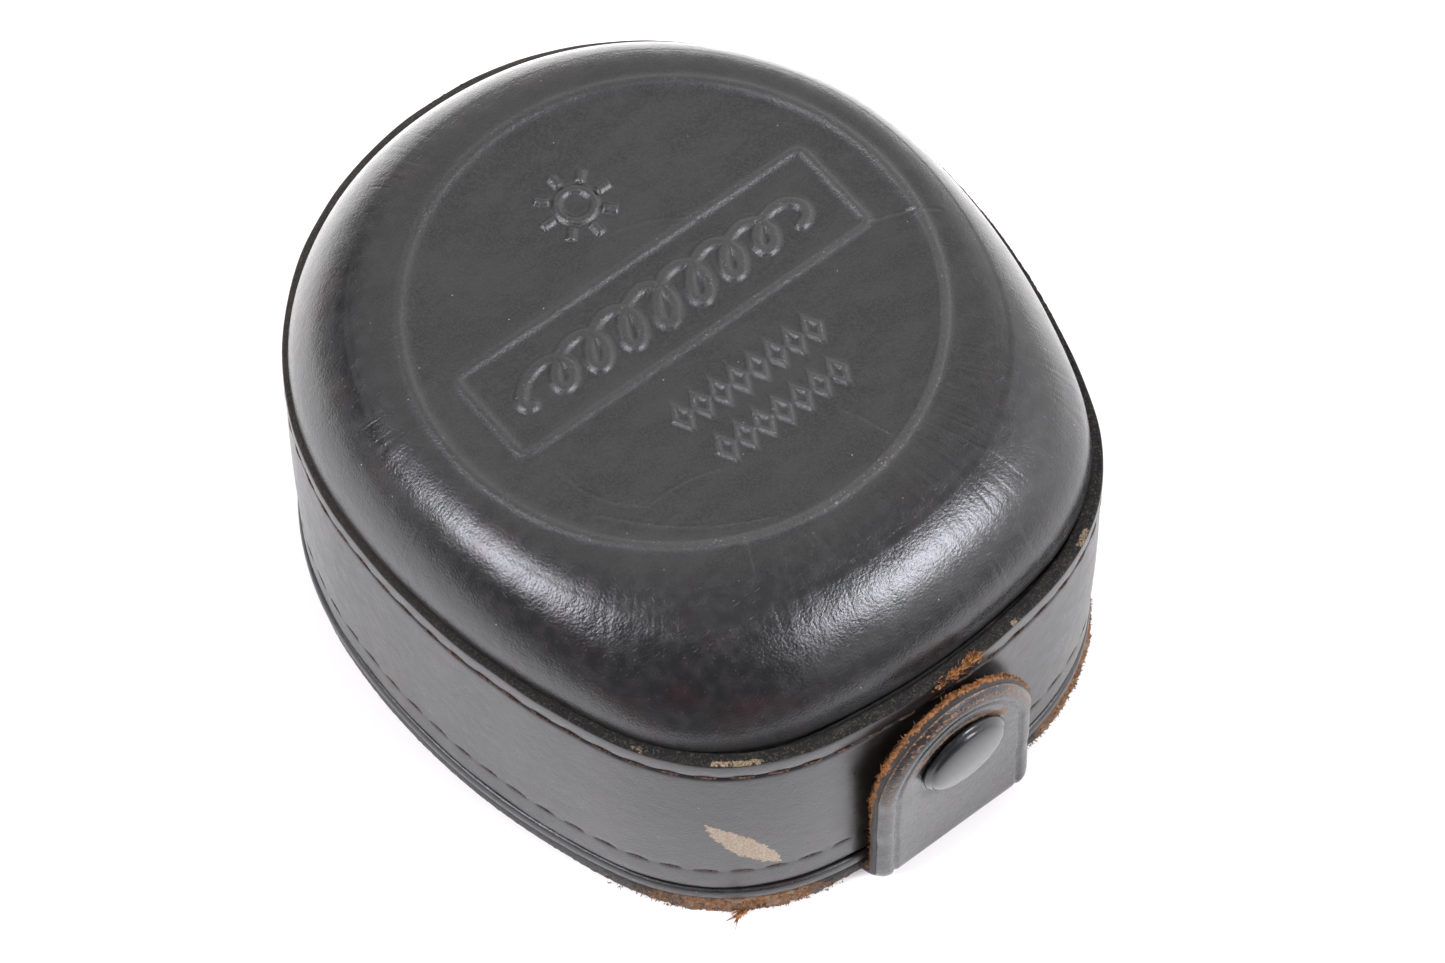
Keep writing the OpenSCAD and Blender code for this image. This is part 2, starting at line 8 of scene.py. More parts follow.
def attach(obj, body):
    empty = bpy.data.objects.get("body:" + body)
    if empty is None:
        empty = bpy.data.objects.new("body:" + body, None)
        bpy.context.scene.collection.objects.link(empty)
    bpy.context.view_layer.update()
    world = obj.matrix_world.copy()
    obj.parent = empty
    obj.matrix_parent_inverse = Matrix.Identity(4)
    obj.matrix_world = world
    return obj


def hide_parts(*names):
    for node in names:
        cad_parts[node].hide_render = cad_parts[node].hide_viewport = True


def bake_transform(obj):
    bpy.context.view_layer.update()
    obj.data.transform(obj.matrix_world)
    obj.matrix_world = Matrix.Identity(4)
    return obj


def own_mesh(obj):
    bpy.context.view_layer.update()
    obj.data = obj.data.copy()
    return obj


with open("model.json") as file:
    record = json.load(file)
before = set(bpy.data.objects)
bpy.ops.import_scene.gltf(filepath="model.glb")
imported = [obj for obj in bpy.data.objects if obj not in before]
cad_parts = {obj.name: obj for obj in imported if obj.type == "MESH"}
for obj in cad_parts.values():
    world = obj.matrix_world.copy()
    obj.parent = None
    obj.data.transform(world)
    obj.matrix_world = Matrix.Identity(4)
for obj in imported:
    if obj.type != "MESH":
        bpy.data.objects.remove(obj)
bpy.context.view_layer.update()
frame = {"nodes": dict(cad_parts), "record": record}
MM = 0.001
rng = np.random.default_rng(7)

# ---------------------------------------------------------------- camera, light and floor
scene = bpy.context.scene
scene.view_settings.view_transform = "Standard"
scene.view_settings.look = "None"

# The camera looks at a point of the floor, in degrees and metres
CAM_AZIMUTH, CAM_ELEVATION, CAM_ROLL, CAM_REACH = -38.206, 60.115, -0.2565, 0.58682
CAM_TARGET = Vector((0.00665, 0.00109, 0.0))


def direction(azimuth, elevation):
    a, e = math.radians(azimuth), math.radians(elevation)
    return Vector((math.sin(a) * math.cos(e), -math.cos(a) * math.cos(e), math.sin(e)))


camera_data = bpy.data.cameras.new("camera")
camera_data.sensor_width = 36.0
camera_data.lens = 150.05
camera_data.clip_start = 0.01
camera_data.clip_end = 20.0
camera = bpy.data.objects.new("camera", camera_data)
scene.collection.objects.link(camera)
cam_back = direction(CAM_AZIMUTH, CAM_ELEVATION)
camera.location = CAM_TARGET + CAM_REACH * cam_back
camera.rotation_mode = "QUATERNION"
roll = Quaternion((0, 0, 1), math.radians(CAM_ROLL))
camera.rotation_quaternion = (-cam_back).to_track_quat("-Z", "Y") @ roll
scene.camera = camera


SHADER_INPUTS = {"colour": "Base Color", "rough": "Roughness", "normal": "Normal",
                 "glow": "Emission Strength"}


class Graph:
    """Short way to write a node tree."""

    def __init__(self, tree):
        self.tree = tree
        self.nodes = tree.nodes
        self.links = tree.links

    def put(self, kind, inputs=None, **settings):
        node = self.nodes.new(kind)
        for key, value in settings.items():
            setattr(node, key, value)
        for key, value in (inputs or {}).items():
            socket = node.inputs[key]
            if isinstance(value, bpy.types.NodeSocket):
                self.links.new(value, socket)
            else:
                socket.default_value = value
        return node

    def math(self, operation, a, b=0.0, clamp=False):
        return self.put("ShaderNodeMath", {0: a, 1: b}, operation=operation, use_clamp=clamp).outputs[0]

    def times(self, a, b):
        return self.math("MULTIPLY", a, b)

    def plus(self, a, b, clamp=False):
        return self.math("ADD", a, b, clamp)

    def minus(self, a, b):
        return self.math("SUBTRACT", a, b)

    def around(self, noise):
        """A noise moved down so that it swings about zero."""
        return self.minus(noise, 0.5)

    def dot(self, vector, way):
        return self.put("ShaderNodeVectorMath", {0: vector, 1: tuple(way)},
                        operation="DOT_PRODUCT").outputs["Value"]

    def step(self, value, low, high, out_low=0.0, out_high=1.0):
        node = self.put("ShaderNodeMapRange", {0: value, 1: low, 2: high, 3: out_low, 4: out_high},
                        interpolation_type="SMOOTHSTEP")
        return node.outputs[0]

    def noise(self, vector, scale, detail=3.0, rough=0.55, distortion=0.0):
        return self.put("ShaderNodeTexNoise", {"Vector": vector, "Scale": scale, "Detail": detail,
                                               "Roughness": rough, "Distortion": distortion}).outputs[0]

    def stretch(self, vector, x, y, z):
        return self.put("ShaderNodeVectorMath", {0: vector, 1: (x, y, z)}, operation="MULTIPLY").outputs[0]

    def mix(self, share, a, b):
        """Colour a where share is 0, b where it is 1."""
        return self.put("ShaderNodeMix", {0: share, 6: a, 7: b}, data_type="RGBA").outputs[2]

    def blend(self, share, a, b):
        """The same for plain numbers."""
        return self.put("ShaderNodeMix", {0: share, 2: a, 3: b}, data_type="FLOAT").outputs[0]

    def feed(self, **sockets):
        """Links values into the shader: colour, rough, normal or glow."""
        for key, value in sockets.items():
            self.links.new(value, self.nodes["Principled BSDF"].inputs[SHADER_INPUTS[key]])

    def fed(self, key):
        """What is linked into the shader at the moment."""
        return self.nodes["Principled BSDF"].inputs[SHADER_INPUTS[key]].links[0].from_socket


def new_material(name, **plain):
    """A material and its graph, with plain values such as Roughness set on the shader."""
    material = bpy.data.materials.new(name)
    material.use_nodes = True
    shader = material.node_tree.nodes["Principled BSDF"]
    for key, value in plain.items():
        shader.inputs[key.replace("_", " ")].default_value = value
    return material, Graph(material.node_tree)


def make_world():
    world = bpy.data.worlds.new("studio")
    scene.world = world
    world.use_nodes = True
    g = Graph(world.node_tree)
    for node in list(g.nodes):
        g.nodes.remove(node)
    out = g.put("ShaderNodeOutputWorld")
    back = g.put("ShaderNodeBackground", {"Strength": 1.0})
    way = g.put("ShaderNodeTexCoord").outputs["Generated"]

    parts = g.put("ShaderNodeSeparateXYZ", {0: way})
    flat = g.put("ShaderNodeVectorMath", {0: g.stretch(way, 1.0, 1.0, 0.0)}, operation="NORMALIZE").outputs[0]
    height = parts.outputs[2]

    def panel(azimuth, half_width, bottom, top, soft):
        """A soft-edged panel of light, its centre, half width and rows in degrees."""
        a = math.radians(azimuth)
        side = g.dot(flat, (math.sin(a), -math.cos(a), 0.0))
        across = g.step(side, math.cos(math.radians(half_width + soft)),
                        math.cos(math.radians(max(0.0, half_width - soft))))
        low = g.step(height, math.sin(math.radians(bottom - soft)), math.sin(math.radians(bottom + soft)))
        high = g.step(height, math.sin(math.radians(min(90, top + soft))), math.sin(math.radians(top - soft)))
        return g.times(across, g.times(low, high))

    # the room: bright at the sides, dimmer overhead
    level = g.step(height, math.sin(math.radians(52)), math.sin(math.radians(80)), 1.2, 0.66)
    for dark, shape in SHADES:
        level = g.blend(panel(*shape), level, dark)
    for strength, shape in SOFTBOXES:
        level = g.plus(level, g.times(panel(*shape), strength))
    bluer = g.times(level, g.step(level, 1.5, 6.0, 1.01, 1.10))
    colour = g.put("ShaderNodeCombineColor", {0: level, 1: level, 2: bluer}).outputs[0]
    g.links.new(colour, back.inputs["Color"])
    g.links.new(back.outputs[0], out.inputs[0])


# Brightness and (azimuth, half width, lowest row, highest row, softness) of each, in degrees.
# Azimuth 0 is toward the front and 90 toward the right.
SHADES = [
    (0.20, (-35.0, 50.0, -70.0, 64.0, 10.0)),
    (0.30, (-82.0, 24.0, -70.0, 34.0, 8.0)),
    (0.08, (-152.0, 32.0, 17.0, 33.0, 5.0)),
]
SOFTBOXES = [
    (28.0, (28.5, 12.5, 33.0, 50.0, 7.0)),
    (23.5, (-102.5, 7.0, 29.0, 67.0, 6.5)),
    (1.0, (75.0, 40.0, -30.0, 42.0, 10.0)),
    (1.3, (14.0, 14.0, 2.0, 30.0, 9.0)),
]
make_world()


FLOOR_HALF = 3.0


def floor_plane(name, z):
    mesh = bpy.data.meshes.new(name)
    corners = [(FLOOR_HALF * x, FLOOR_HALF * y, z) for x, y in ((-1, -1), (1, -1), (1, 1), (-1, 1))]
    mesh.from_pydata(corners, [], [(0, 1, 2, 3)])
    floor = bpy.data.objects.new(name, mesh)
    scene.collection.objects.link(floor)
    return floor


def make_paper():
    """The plain white paper that is seen."""
    floor = floor_plane("floor", 0.00002)
    for ray in ("diffuse", "glossy", "transmission", "shadow"):
        setattr(floor, "visible_" + ray, False)
    material, g = new_material("floor_paper", Roughness=0.9, Specular_IOR_Level=0.0, Emission_Strength=0.33,
                                     Emission_Color=(1.0, 0.98, 0.97, 1))
    fibre = g.noise(g.put("ShaderNodeTexCoord").outputs["Object"], 900.0, 3.0)
    g.feed(colour=g.mix(fibre, (0.59, 0.57, 0.56, 1), (0.61, 0.59, 0.58, 1)))
    floor.data.materials.append(material)


def make_bounce():
    """The light the floor throws back: bright at the rear, dark beyond the front and left."""
    floor = floor_plane("floor_bounce", 0.0)
    floor.visible_camera = False
    material, g = new_material("floor_light", Roughness=0.8, Specular_IOR_Level=0.2,
                                     Emission_Color=(1.0, 0.985, 0.955, 1))
    place = g.put("ShaderNodeTexCoord").outputs["Object"]

    def reach(azimuth, near, far):
        return g.step(g.dot(place, direction(azimuth, 0.0)), near * MM, far * MM)

    near = g.times(reach(-38.0, 98.0, 54.0), reach(-100.0, 300.0, 160.0))
    far_off = g.minus(1.0, near)
    fibre = g.noise(place, 900.0, 3.0)
    white = g.mix(fibre, (0.84, 0.83, 0.803, 1), (0.86, 0.85, 0.823, 1))
    g.feed(colour=g.mix(far_off, white, (0.16, 0.16, 0.153, 1)))
    back = g.plus(0.12, g.times(reach(150.0, -10.0, 90.0), 1.25))
    g.feed(glow=g.times(near, back))
    floor.data.materials.append(material)


make_paper()
make_bounce()

# ---------------------------------------------------------------- the case's outline
# Lengths are in mm from here on. The half outline is four arcs, each up to the direction of its end.
REAR_Y, REAR_R, FLANK_R, CORNER_R = 38.0, 33.8, 68.4, 21.3
REAR_END, FLANK_END, CORNER_END = (math.radians(x) for x in (84.0, 114.0, 168.0))
FRONT_R = (REAR_R * math.sin(REAR_END) + FLANK_R * (math.sin(FLANK_END) - math.sin(REAR_END))
           + CORNER_R * (math.sin(CORNER_END) - math.sin(FLANK_END))) / math.sin(CORNER_END)
ARCS = [(REAR_R, 0.0, REAR_END), (FLANK_R, REAR_END, FLANK_END), (CORNER_R, FLANK_END, CORNER_END),
        (FRONT_R, CORNER_END, math.pi)]
HALF_LEN = sum(r * (b - a) for r, a, b in ARCS)
GIRTH = 2 * HALF_LEN
N_AROUND = 960
SPACING = GIRTH / N_AROUND
OUT_S = np.arange(N_AROUND) * GIRTH / N_AROUND


def raw_outline():
    """Points evenly spaced round the outline, clockwise from the rear seen from above."""
    n = N_AROUND
    s = OUT_S
    mirrored = s > HALF_LEN
    s = np.where(mirrored, GIRTH - s, s)
    x, y = np.zeros(n), np.full(n, REAR_Y)
    left = s.copy()
    for r, a, b in ARCS:
        part = np.clip(left, 0, r * (b - a))
        end = a + part / r
        x += r * (np.sin(end) - math.sin(a))
        y += r * (np.cos(end) - math.cos(a))
        left = left - part
    return np.stack([np.where(mirrored, -x, x), y], 1)


def smooth_closed(values, sigma):
    """Gaussian smoothing round the outline by its Fourier terms, for any columns of values."""
    k = np.fft.fftfreq(len(values), SPACING) * 2 * math.pi
    gain = np.exp(-0.5 * (k * sigma) ** 2)
    return np.real(np.fft.ifft(np.fft.fft(values, axis=0) * gain[:, None], axis=0))


def make_outline():
    """The outline with softened joins between its arcs, and its outward directions."""
    soft = smooth_closed(raw_outline(), 2.6)
    p = soft + (soft - smooth_closed(soft, 2.6))
    ahead = np.roll(p, -1, 0) - np.roll(p, 1, 0)
    ahead /= np.linalg.norm(ahead, axis=1)[:, None]
    return p, np.stack([-ahead[:, 1], ahead[:, 0]], 1)


OUT_P, OUT_N = make_outline()
FRONT_Y = float(OUT_P[:, 1].min())
CAD_FRONT_Y = -40.78
TONGUE_X = -0.6


def ripple(s, wave, seed, count=5):
    """Smooth closed unevenness, about 1 high, with waves no shorter than wave."""
    r = np.random.default_rng(seed)
    top = max(2, int(GIRTH / wave))
    out = np.zeros_like(s, dtype=float)
    for k in r.integers(1, top + 1, count):
        out += np.sin(2 * math.pi * k * s / GIRTH + r.uniform(0, 6.28)) * r.uniform(0.3, 1.0)
    return out / math.sqrt(count)


def near_front(s, half, soft):
    d = np.abs(s - HALF_LEN)
    return 1 / (1 + np.exp((d - half) / soft))


def inward(d):
    """The outline moved inward by d, one distance for each of its points."""
    return OUT_P - d[:, None] * OUT_N


def nearest(x, y):
    """Index of the outline's point nearest to a place."""
    return int(np.hypot(OUT_P[:, 0] - x, OUT_P[:, 1] - y).argmin())


# ---------------------------------------------------------------- mesh building
def make_mesh(name, verts, faces, materials, body, face_mat=None, uv=None, marks=None, smooth=True,
              replaces=()):
    """A mesh piece in mm that rides on a body. rest_co is where each vertex was made; marks are floats."""
    verts = np.asarray(verts, float)
    mesh = bpy.data.meshes.new(name)
    if isinstance(faces, list):
        mesh.from_pydata((verts * MM).tolist(), [], faces)
    else:
        faces = faces.astype(np.int32)
        mesh.vertices.add(len(verts))
        mesh.vertices.foreach_set("co", (verts * MM).astype(np.float32).ravel())
        mesh.loops.add(faces.size)
        mesh.loops.foreach_set("vertex_index", faces.ravel())
        mesh.polygons.add(len(faces))
        mesh.polygons.foreach_set("loop_start", np.arange(0, faces.size, 4, dtype=np.int32))
        mesh.update(calc_edges=True)
    for material in materials:
        mesh.materials.append(material)
    if face_mat is not None:
        mesh.polygons.foreach_set("material_index", np.asarray(face_mat, np.int32))
    mesh.polygons.foreach_set("use_smooth", np.full(len(mesh.polygons), smooth))
    rest = mesh.attributes.new("rest_co", "FLOAT_VECTOR", "POINT")
    rest.data.foreach_set("vector", verts.astype(np.float32).ravel())
    for key, value in (marks or {}).items():
        layer = mesh.attributes.new(key, "FLOAT", "POINT")
        layer.data.foreach_set("value", np.asarray(value, np.float32))
    if uv is not None:
        layer = mesh.attributes.new("strip_uv", "FLOAT_VECTOR", "POINT")
        uv3 = np.concatenate([np.asarray(uv, float), np.zeros((len(verts), 1))], 1)
        layer.data.foreach_set("vector", uv3.astype(np.float32).ravel())
    mesh.validate()
    mesh.update()
    obj = bpy.data.objects.new(name, mesh)
    scene.collection.objects.link(obj)
    if body:
        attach(obj, body)
    if replaces:
        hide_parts(*replaces)
    return obj


def grid_faces(rows, cols, wrap_rows=False, wrap_cols=False, flip=False):
    """Quads over a rows by cols grid of vertices, row-major."""
    r = np.arange(rows if wrap_rows else rows - 1)
    c = np.arange(cols if wrap_cols else cols - 1)
    rr, cc = np.meshgrid(r, c, indexing="ij")
    r2, c2 = (rr + 1) % rows, (cc + 1) % cols
    quads = np.stack([rr * cols + cc, rr * cols + c2, r2 * cols + c2, r2 * cols + cc], -1).reshape(-1, 4)
    return quads[:, ::-1] if flip else quads


def quad_list(quads):
    return [tuple(int(i) for i in quad) for quad in quads]


def carried(points, n):
    """A profile of (inward, up) points, and its copies round the outline as two (around, profile) arrays."""
    points = np.array(points)
    return points, np.tile(points[:, 0], (n, 1)), np.tile(points[:, 1], (n, 1))


def swept(d, z, index=slice(None)):
    """Vertices of a profile carried round the outline, or round the part of it at index."""
    xy = OUT_P[index][:, None, :] - d[:, :, None] * OUT_N[index][:, None, :]
    return np.concatenate([xy, z[:, :, None]], 2).reshape(-1, 3)


def close_tube(faces, first, steps, sides):
    """Faces of a tube of rings of vertices that starts at vertex first, with a cap at each end."""
    faces += quad_list(grid_faces(steps, sides, wrap_cols=True) + first)
    faces.append(tuple(first + k for k in range(sides))[::-1])
    faces.append(tuple(first + (steps - 1) * sides + k for k in range(sides)))


def sweep(name, d, z, materials, body, seg_mat, marks=None, replaces=()):
    """Sweeps a closed profile round the outline. seg_mat is the material of each side of the profile."""
    n, m = d.shape
    faces = grid_faces(n, m, wrap_rows=True, wrap_cols=True)
    face_mat = np.tile(np.asarray(seg_mat[:m]), n)
    uv = np.stack([np.repeat(OUT_S, m), z.ravel()], 1)
    flat = {k: v.ravel() for k, v in (marks or {}).items()}
    make_mesh(name, swept(d, z), faces, materials, body, face_mat, uv, flat, True, replaces)


def rest(g):
    return g.put("ShaderNodeAttribute", attribute_name="rest_co").outputs["Vector"]


def mark(g, name):
    return g.put("ShaderNodeAttribute", attribute_name=name).outputs["Fac"]


def bump(g, height, depth, **more):
    """Bumps the surface by a height between 0 and 1, times depth in mm."""
    g.feed(normal=g.put("ShaderNodeBump", {"Height": height, "Distance": depth * MM, **more}).outputs[0])


BLACK = (0.0080, 0.0076, 0.0080, 1)


def wrinkles(g, co):
    """Fine creases that run down the dome's shoulder from the flat top, in patches."""
    parts = g.put("ShaderNodeSeparateXYZ", {0: co})
    x, y = parts.outputs[0], parts.outputs[1]
    r = g.math("SQRT", g.plus(g.times(x, x), g.times(y, y)))
    # a fan of folds at the front right, where the flat top drops to the corner
    fan_middle = (11.0, -28.5, 38.5)
    off = g.put("ShaderNodeVectorMath", {0: co, 1: fan_middle}, operation="DISTANCE").outputs["Value"]
    fan = g.step(off, 8.0, 3.0)
    depth = 0.0
    for around, down, width, where, amount in ((17.0, 0.07, 0.10, 0.12, 0.34), (44.0, 0.13, 0.14, 0.2, 0.13)):
        place = g.put("ShaderNodeCombineXYZ", {0: g.times(g.math("DIVIDE", x, r), around),
                                               1: g.times(g.math("DIVIDE", y, r), around),
                                               2: g.times(r, down)}).outputs[0]
        line = g.math("ABSOLUTE", g.around(g.noise(place, 1.0, 2.0, 0.5)))
        patch = g.math("MAXIMUM", g.step(g.noise(co, where, 2.0), 0.50, 0.66), fan)
        crease = g.times(g.step(line, width, 0.0), g.times(patch, amount))
        depth = g.plus(crease, depth)
    return g.times(depth, g.step(r, 24.5, 26.5))


def leather(name, gloss=0.3, plateau=False, grain=1.0, tint=(0.03, 0.008, 0.010, 1), fine_scale=5.2):
    """Polished black leather: fine grain, hairline scratches, wine-red wear and dust."""
    material, g = new_material(name)
    co = rest(g)
    fine = g.noise(co, fine_scale, 3.0, 0.6)
    broad = g.noise(co, 0.16, 3.0, 0.5)
    mid = g.noise(co, 0.7, 4.0, 0.55)
    scratch_a = g.noise(g.stretch(co, 0.5, 6.0, 2.0), 1.1, 2.0, 0.5)
    scratch_b = g.noise(g.stretch(co, 5.0, 0.4, 2.0), 0.9, 2.0, 0.5)
    hair = g.times(g.step(scratch_a, 0.69, 0.74), 0.5)
    hair = g.plus(hair, g.times(g.step(scratch_b, 0.71, 0.76), 0.5), clamp=True)
    pores = g.put("ShaderNodeTexVoronoi", {"Vector": co, "Scale": 3.2}, feature="F1").outputs["Distance"]
    dust = g.put("ShaderNodeTexVoronoi", {"Vector": co, "Scale": 0.42}, feature="F1").outputs["Distance"]
    speck = g.times(g.step(dust, 0.034, 0.022), g.step(mid, 0.40, 0.5))
    colour = g.mix(g.step(mid, 0.35, 0.75), BLACK, (0.017, 0.0155, 0.0155, 1))
    colour = g.mix(g.times(g.step(broad, 0.55, 0.75), 0.30), colour, tint)
    colour = g.mix(g.times(hair, 0.16), colour, (0.12, 0.11, 0.10, 1))
    colour = g.mix(g.times(speck, 0.55), colour, (0.35, 0.3, 0.24, 1))
    rough = g.plus(gloss, g.times(g.around(mid), 0.22))
    rough = g.plus(rough, g.times(hair, 0.12))
    if plateau:
        matte = mark(g, "matte")
        rough = g.blend(matte, rough, g.plus(0.37, g.times(g.around(mid), 0.2)))
        flecked = g.mix(g.step(fine, 0.38, 0.66), (0.0074, 0.0072, 0.0072, 1), (0.0192, 0.0187, 0.0180, 1))
        clouds = g.step(g.noise(g.stretch(co, 0.5, 1.0, 1.0), 0.33, 5.0, 0.65), 0.38, 0.64)
        flecked = g.mix(g.times(clouds, 0.5), flecked, (0.0235, 0.023, 0.022, 1))
        colour = g.mix(g.times(matte, 0.9), colour, flecked)
        colour = g.mix(g.times(speck, 0.5), colour, (0.35, 0.33, 0.30, 1))
        # Paler colour on the raised ornament and the creases: partly rubbed finish, partly a painted
        # highlight on the crests that grows toward the front right, with pale tan specks.
        ridge = mark(g, "ridge")
        worn = g.times(g.step(ridge, 0.35, 0.95), g.step(fine, 0.30, 0.6, 0.55, 1.0))
        toward = g.dot(co, (0.5, -0.86, 0.0))
        worn = g.times(worn, g.step(toward, -14.0, 18.0, 0.30, 0.85))
        colour = g.mix(worn, colour, (0.038, 0.036, 0.034, 1))
        bright = g.times(worn, g.step(g.plus(fine, g.times(mid, 0.6)), 0.97, 1.05))
        colour = g.mix(g.times(bright, 0.5), colour, (0.26, 0.24, 0.19, 1))
    g.feed(colour=colour)
    g.feed(rough=rough)
    height = g.times(fine, 0.62)
    height = g.plus(height, g.times(pores, 0.20))
    height = g.plus(height, g.times(mid, 0.75))
    height = g.plus(height, g.times(broad, 2.0))
    height = g.minus(height, g.times(hair, 0.2))
    if plateau:
        height = g.minus(height, wrinkles(g, co))
    bump(g, height, 0.05 * grain)
    return material, g


def raw_edge(name, light, dark, amount=0.5):
    """Cut edge of leather: loose brown fibres with black dye left on it."""
    material, g = new_material(name, Roughness=0.85, Specular_IOR_Level=0.25)
    co = rest(g)
    fibre = g.noise(g.stretch(co, 1.0, 1.0, 2.2), 3.4, 6.0, 0.7, 1.2)
    patch = g.noise(co, 0.45, 4.0, 0.6)
    share = g.step(g.plus(patch, g.times(g.around(fibre), 0.5)),
                   0.62 - 0.4 * amount, 0.80 - 0.4 * amount)
    tone = g.mix(g.step(fibre, 0.35, 0.7), tuple(0.45 * c for c in light[:3]) + (1,), light)
    g.feed(colour=g.mix(share, dark, tone))
    bump(g, fibre, 0.35)
    return material


def torn_lip():
    """The band's cut top edge: dyed dark, with tan scuffs in a few places."""
    material = raw_edge("edge_lip", (0.085, 0.068, 0.05, 1), (0.012, 0.0115, 0.011, 1), 0.22)
    g = Graph(material.node_tree)
    co = rest(g)
    share = g.plus(mark(g, "torn"), g.times(g.around(g.noise(co, 1.8, 4.0, 0.7)), 1.6))
    old = g.fed("colour")
    tan = g.mix(g.step(g.noise(co, 6.0, 4.0), 0.35, 0.65), (0.12, 0.085, 0.05, 1), (0.36, 0.27, 0.17, 1))
    pale = g.mix(g.noise(co, 5.0, 3.0), (0.045, 0.038, 0.034, 1), (0.12, 0.10, 0.088, 1))
    specks = g.step(g.noise(co, 4.2, 4.0, 0.7), 0.50, 0.68)
    speckled = g.mix(specks, (0.009, 0.0085, 0.008, 1), (0.085, 0.078, 0.058, 1))
    old = g.mix(0.75, old, speckled)
    dyed = g.mix(g.times(mark(g, "aged"), 0.45), old, pale)
    g.feed(colour=g.mix(g.step(share, 0.72, 0.90), dyed, tan))
    return material


# The rubbed patch: its middle, the way it runs along and down the band, and its half length and half width
RUB_X, RUB_Y, RUB_Z = -20.4, -36.0, 13.2
RUB_RUN = (-7.0, -8.8)
RUB_HALF_LONG, RUB_HALF_WIDE = 5.9, 1.5


def band_leather():
    """The band, with a tan patch where the finish is rubbed through, near the front left."""
    material, g = leather("leather_band", 0.31, grain=0.8)
    strip = g.put("ShaderNodeAttribute", attribute_name="strip_uv").outputs["Vector"]
    sep = g.put("ShaderNodeSeparateXYZ", {0: strip})
    along_s, along_z = (part / math.hypot(*RUB_RUN) for part in RUB_RUN)
    ds = g.minus(sep.outputs[0], float(OUT_S[nearest(RUB_X, RUB_Y)]))
    dz = g.minus(sep.outputs[1], RUB_Z)
    u = g.plus(g.times(ds, along_s), g.times(dz, along_z))
    v = g.minus(g.times(ds, along_z), g.times(dz, along_s))
    co = rest(g)
    ragged = g.around(g.noise(co, 1.6, 6.0, 0.75))
    u_n = g.math("DIVIDE", u, RUB_HALF_LONG)
    width = g.times(g.minus(1.0, g.times(u_n, u_n)), RUB_HALF_WIDE)
    v = g.plus(v, g.times(ragged, 2.1))
    inside = g.minus(width, g.math("ABSOLUTE", v))
    shown = g.step(inside, -0.02, 0.12)
    suede = g.noise(co, 5.0, 6.0, 0.7)
    tan = g.mix(g.step(suede, 0.3, 0.7), (0.19, 0.145, 0.105, 1), (0.40, 0.325, 0.245, 1))
    old = g.fed("colour")
    g.feed(colour=g.mix(shown, old, tan))
    old_rough = g.fed("rough")
    g.feed(rough=g.blend(shown, old_rough, 0.9))
    return material


M_DOME = leather("leather_dome", 0.22, plateau=True, fine_scale=4.4)[0]
M_BAND = band_leather()
M_WELT = leather("leather_welt", 0.3)[0]
M_BASE = leather("leather_base", 0.36)[0]
M_TONGUE = leather("leather_tongue", 0.27, grain=0.8)[0]
M_RAW_DARK = raw_edge("edge_dark", (0.085, 0.068, 0.05, 1), (0.012, 0.0115, 0.011, 1), 0.22)
M_LIP = torn_lip()
M_SUEDE = raw_edge("suede_side", (0.17, 0.115, 0.08, 1), (0.115, 0.08, 0.058, 1), 0.6)

# ---------------------------------------------------------------- the dome
SEAM_Z, TOP_Z, PLATEAU_R, RING_R = 29.2, 40.5, 26.0, 25.0
FOOT_Z, FLANGE_IN, DOME_THICK = 29.45, 1.55, 1.2
N_SHOULDER, N_UNDER = 64, 16

# Distance from the band's outer edge to the dome's wall, by direction clockwise from the rear
FOOT = [(0, 2.9), (30, 3.4), (60, 3.5), (90, 1.95), (120, 0.85), (150, 1.75), (172, 2.0), (192, 2.1),
        (215, 1.7), (232, 1.1), (270, 0.6), (308, 0.55), (335, 1.7), (360, 2.9)]


def dome_foot():
    way = np.degrees(np.arctan2(OUT_N[:, 0], OUT_N[:, 1])) % 360
    foot = np.interp(way, [f[0] for f in FOOT], [f[1] for f in FOOT])
    foot = smooth_closed(foot[:, None], 3.5)[:, 0]
    return foot + 0.06 * ripple(OUT_S, 30, 3)


def frame_distance(x, y, half_w, half_d, corner):
    qx, qy = np.abs(x) - half_w + corner, np.abs(y) - half_d + corner
    outside = np.hypot(np.maximum(qx, 0), np.maximum(qy, 0))
    return outside + np.minimum(np.maximum(qx, qy), 0) - corner


def line_distance(x, y, px, py):
    """Distance from each point to a polyline."""
    best = np.full(x.shape, 1e9)
    for x0, y0, x1, y1 in zip(px[:-1], py[:-1], px[1:], py[1:]):
        dx, dy = x1 - x0, y1 - y0
        t = np.clip(((x - x0) * dx + (y - y0) * dy) / (dx * dx + dy * dy + 1e-12), 0, 1)
        best = np.minimum(best, np.hypot(x - x0 - t * dx, y - y0 - t * dy))
    return best


def flourish():
    """A plain row of leaning loops that fills the frame."""
    t = np.linspace(0, 2 * math.pi * 8, 330)
    run = t / (2 * math.pi * 8)
    grow = 0.62 + 0.38 * np.sin(math.pi * np.clip(run * 1.02, 0, 1))
    x = -15.6 + 31.2 * run - 1.75 * np.sin(t)
    y = -2.35 * grow * np.cos(t)
    return x + 0.38 * y, y + 1.25


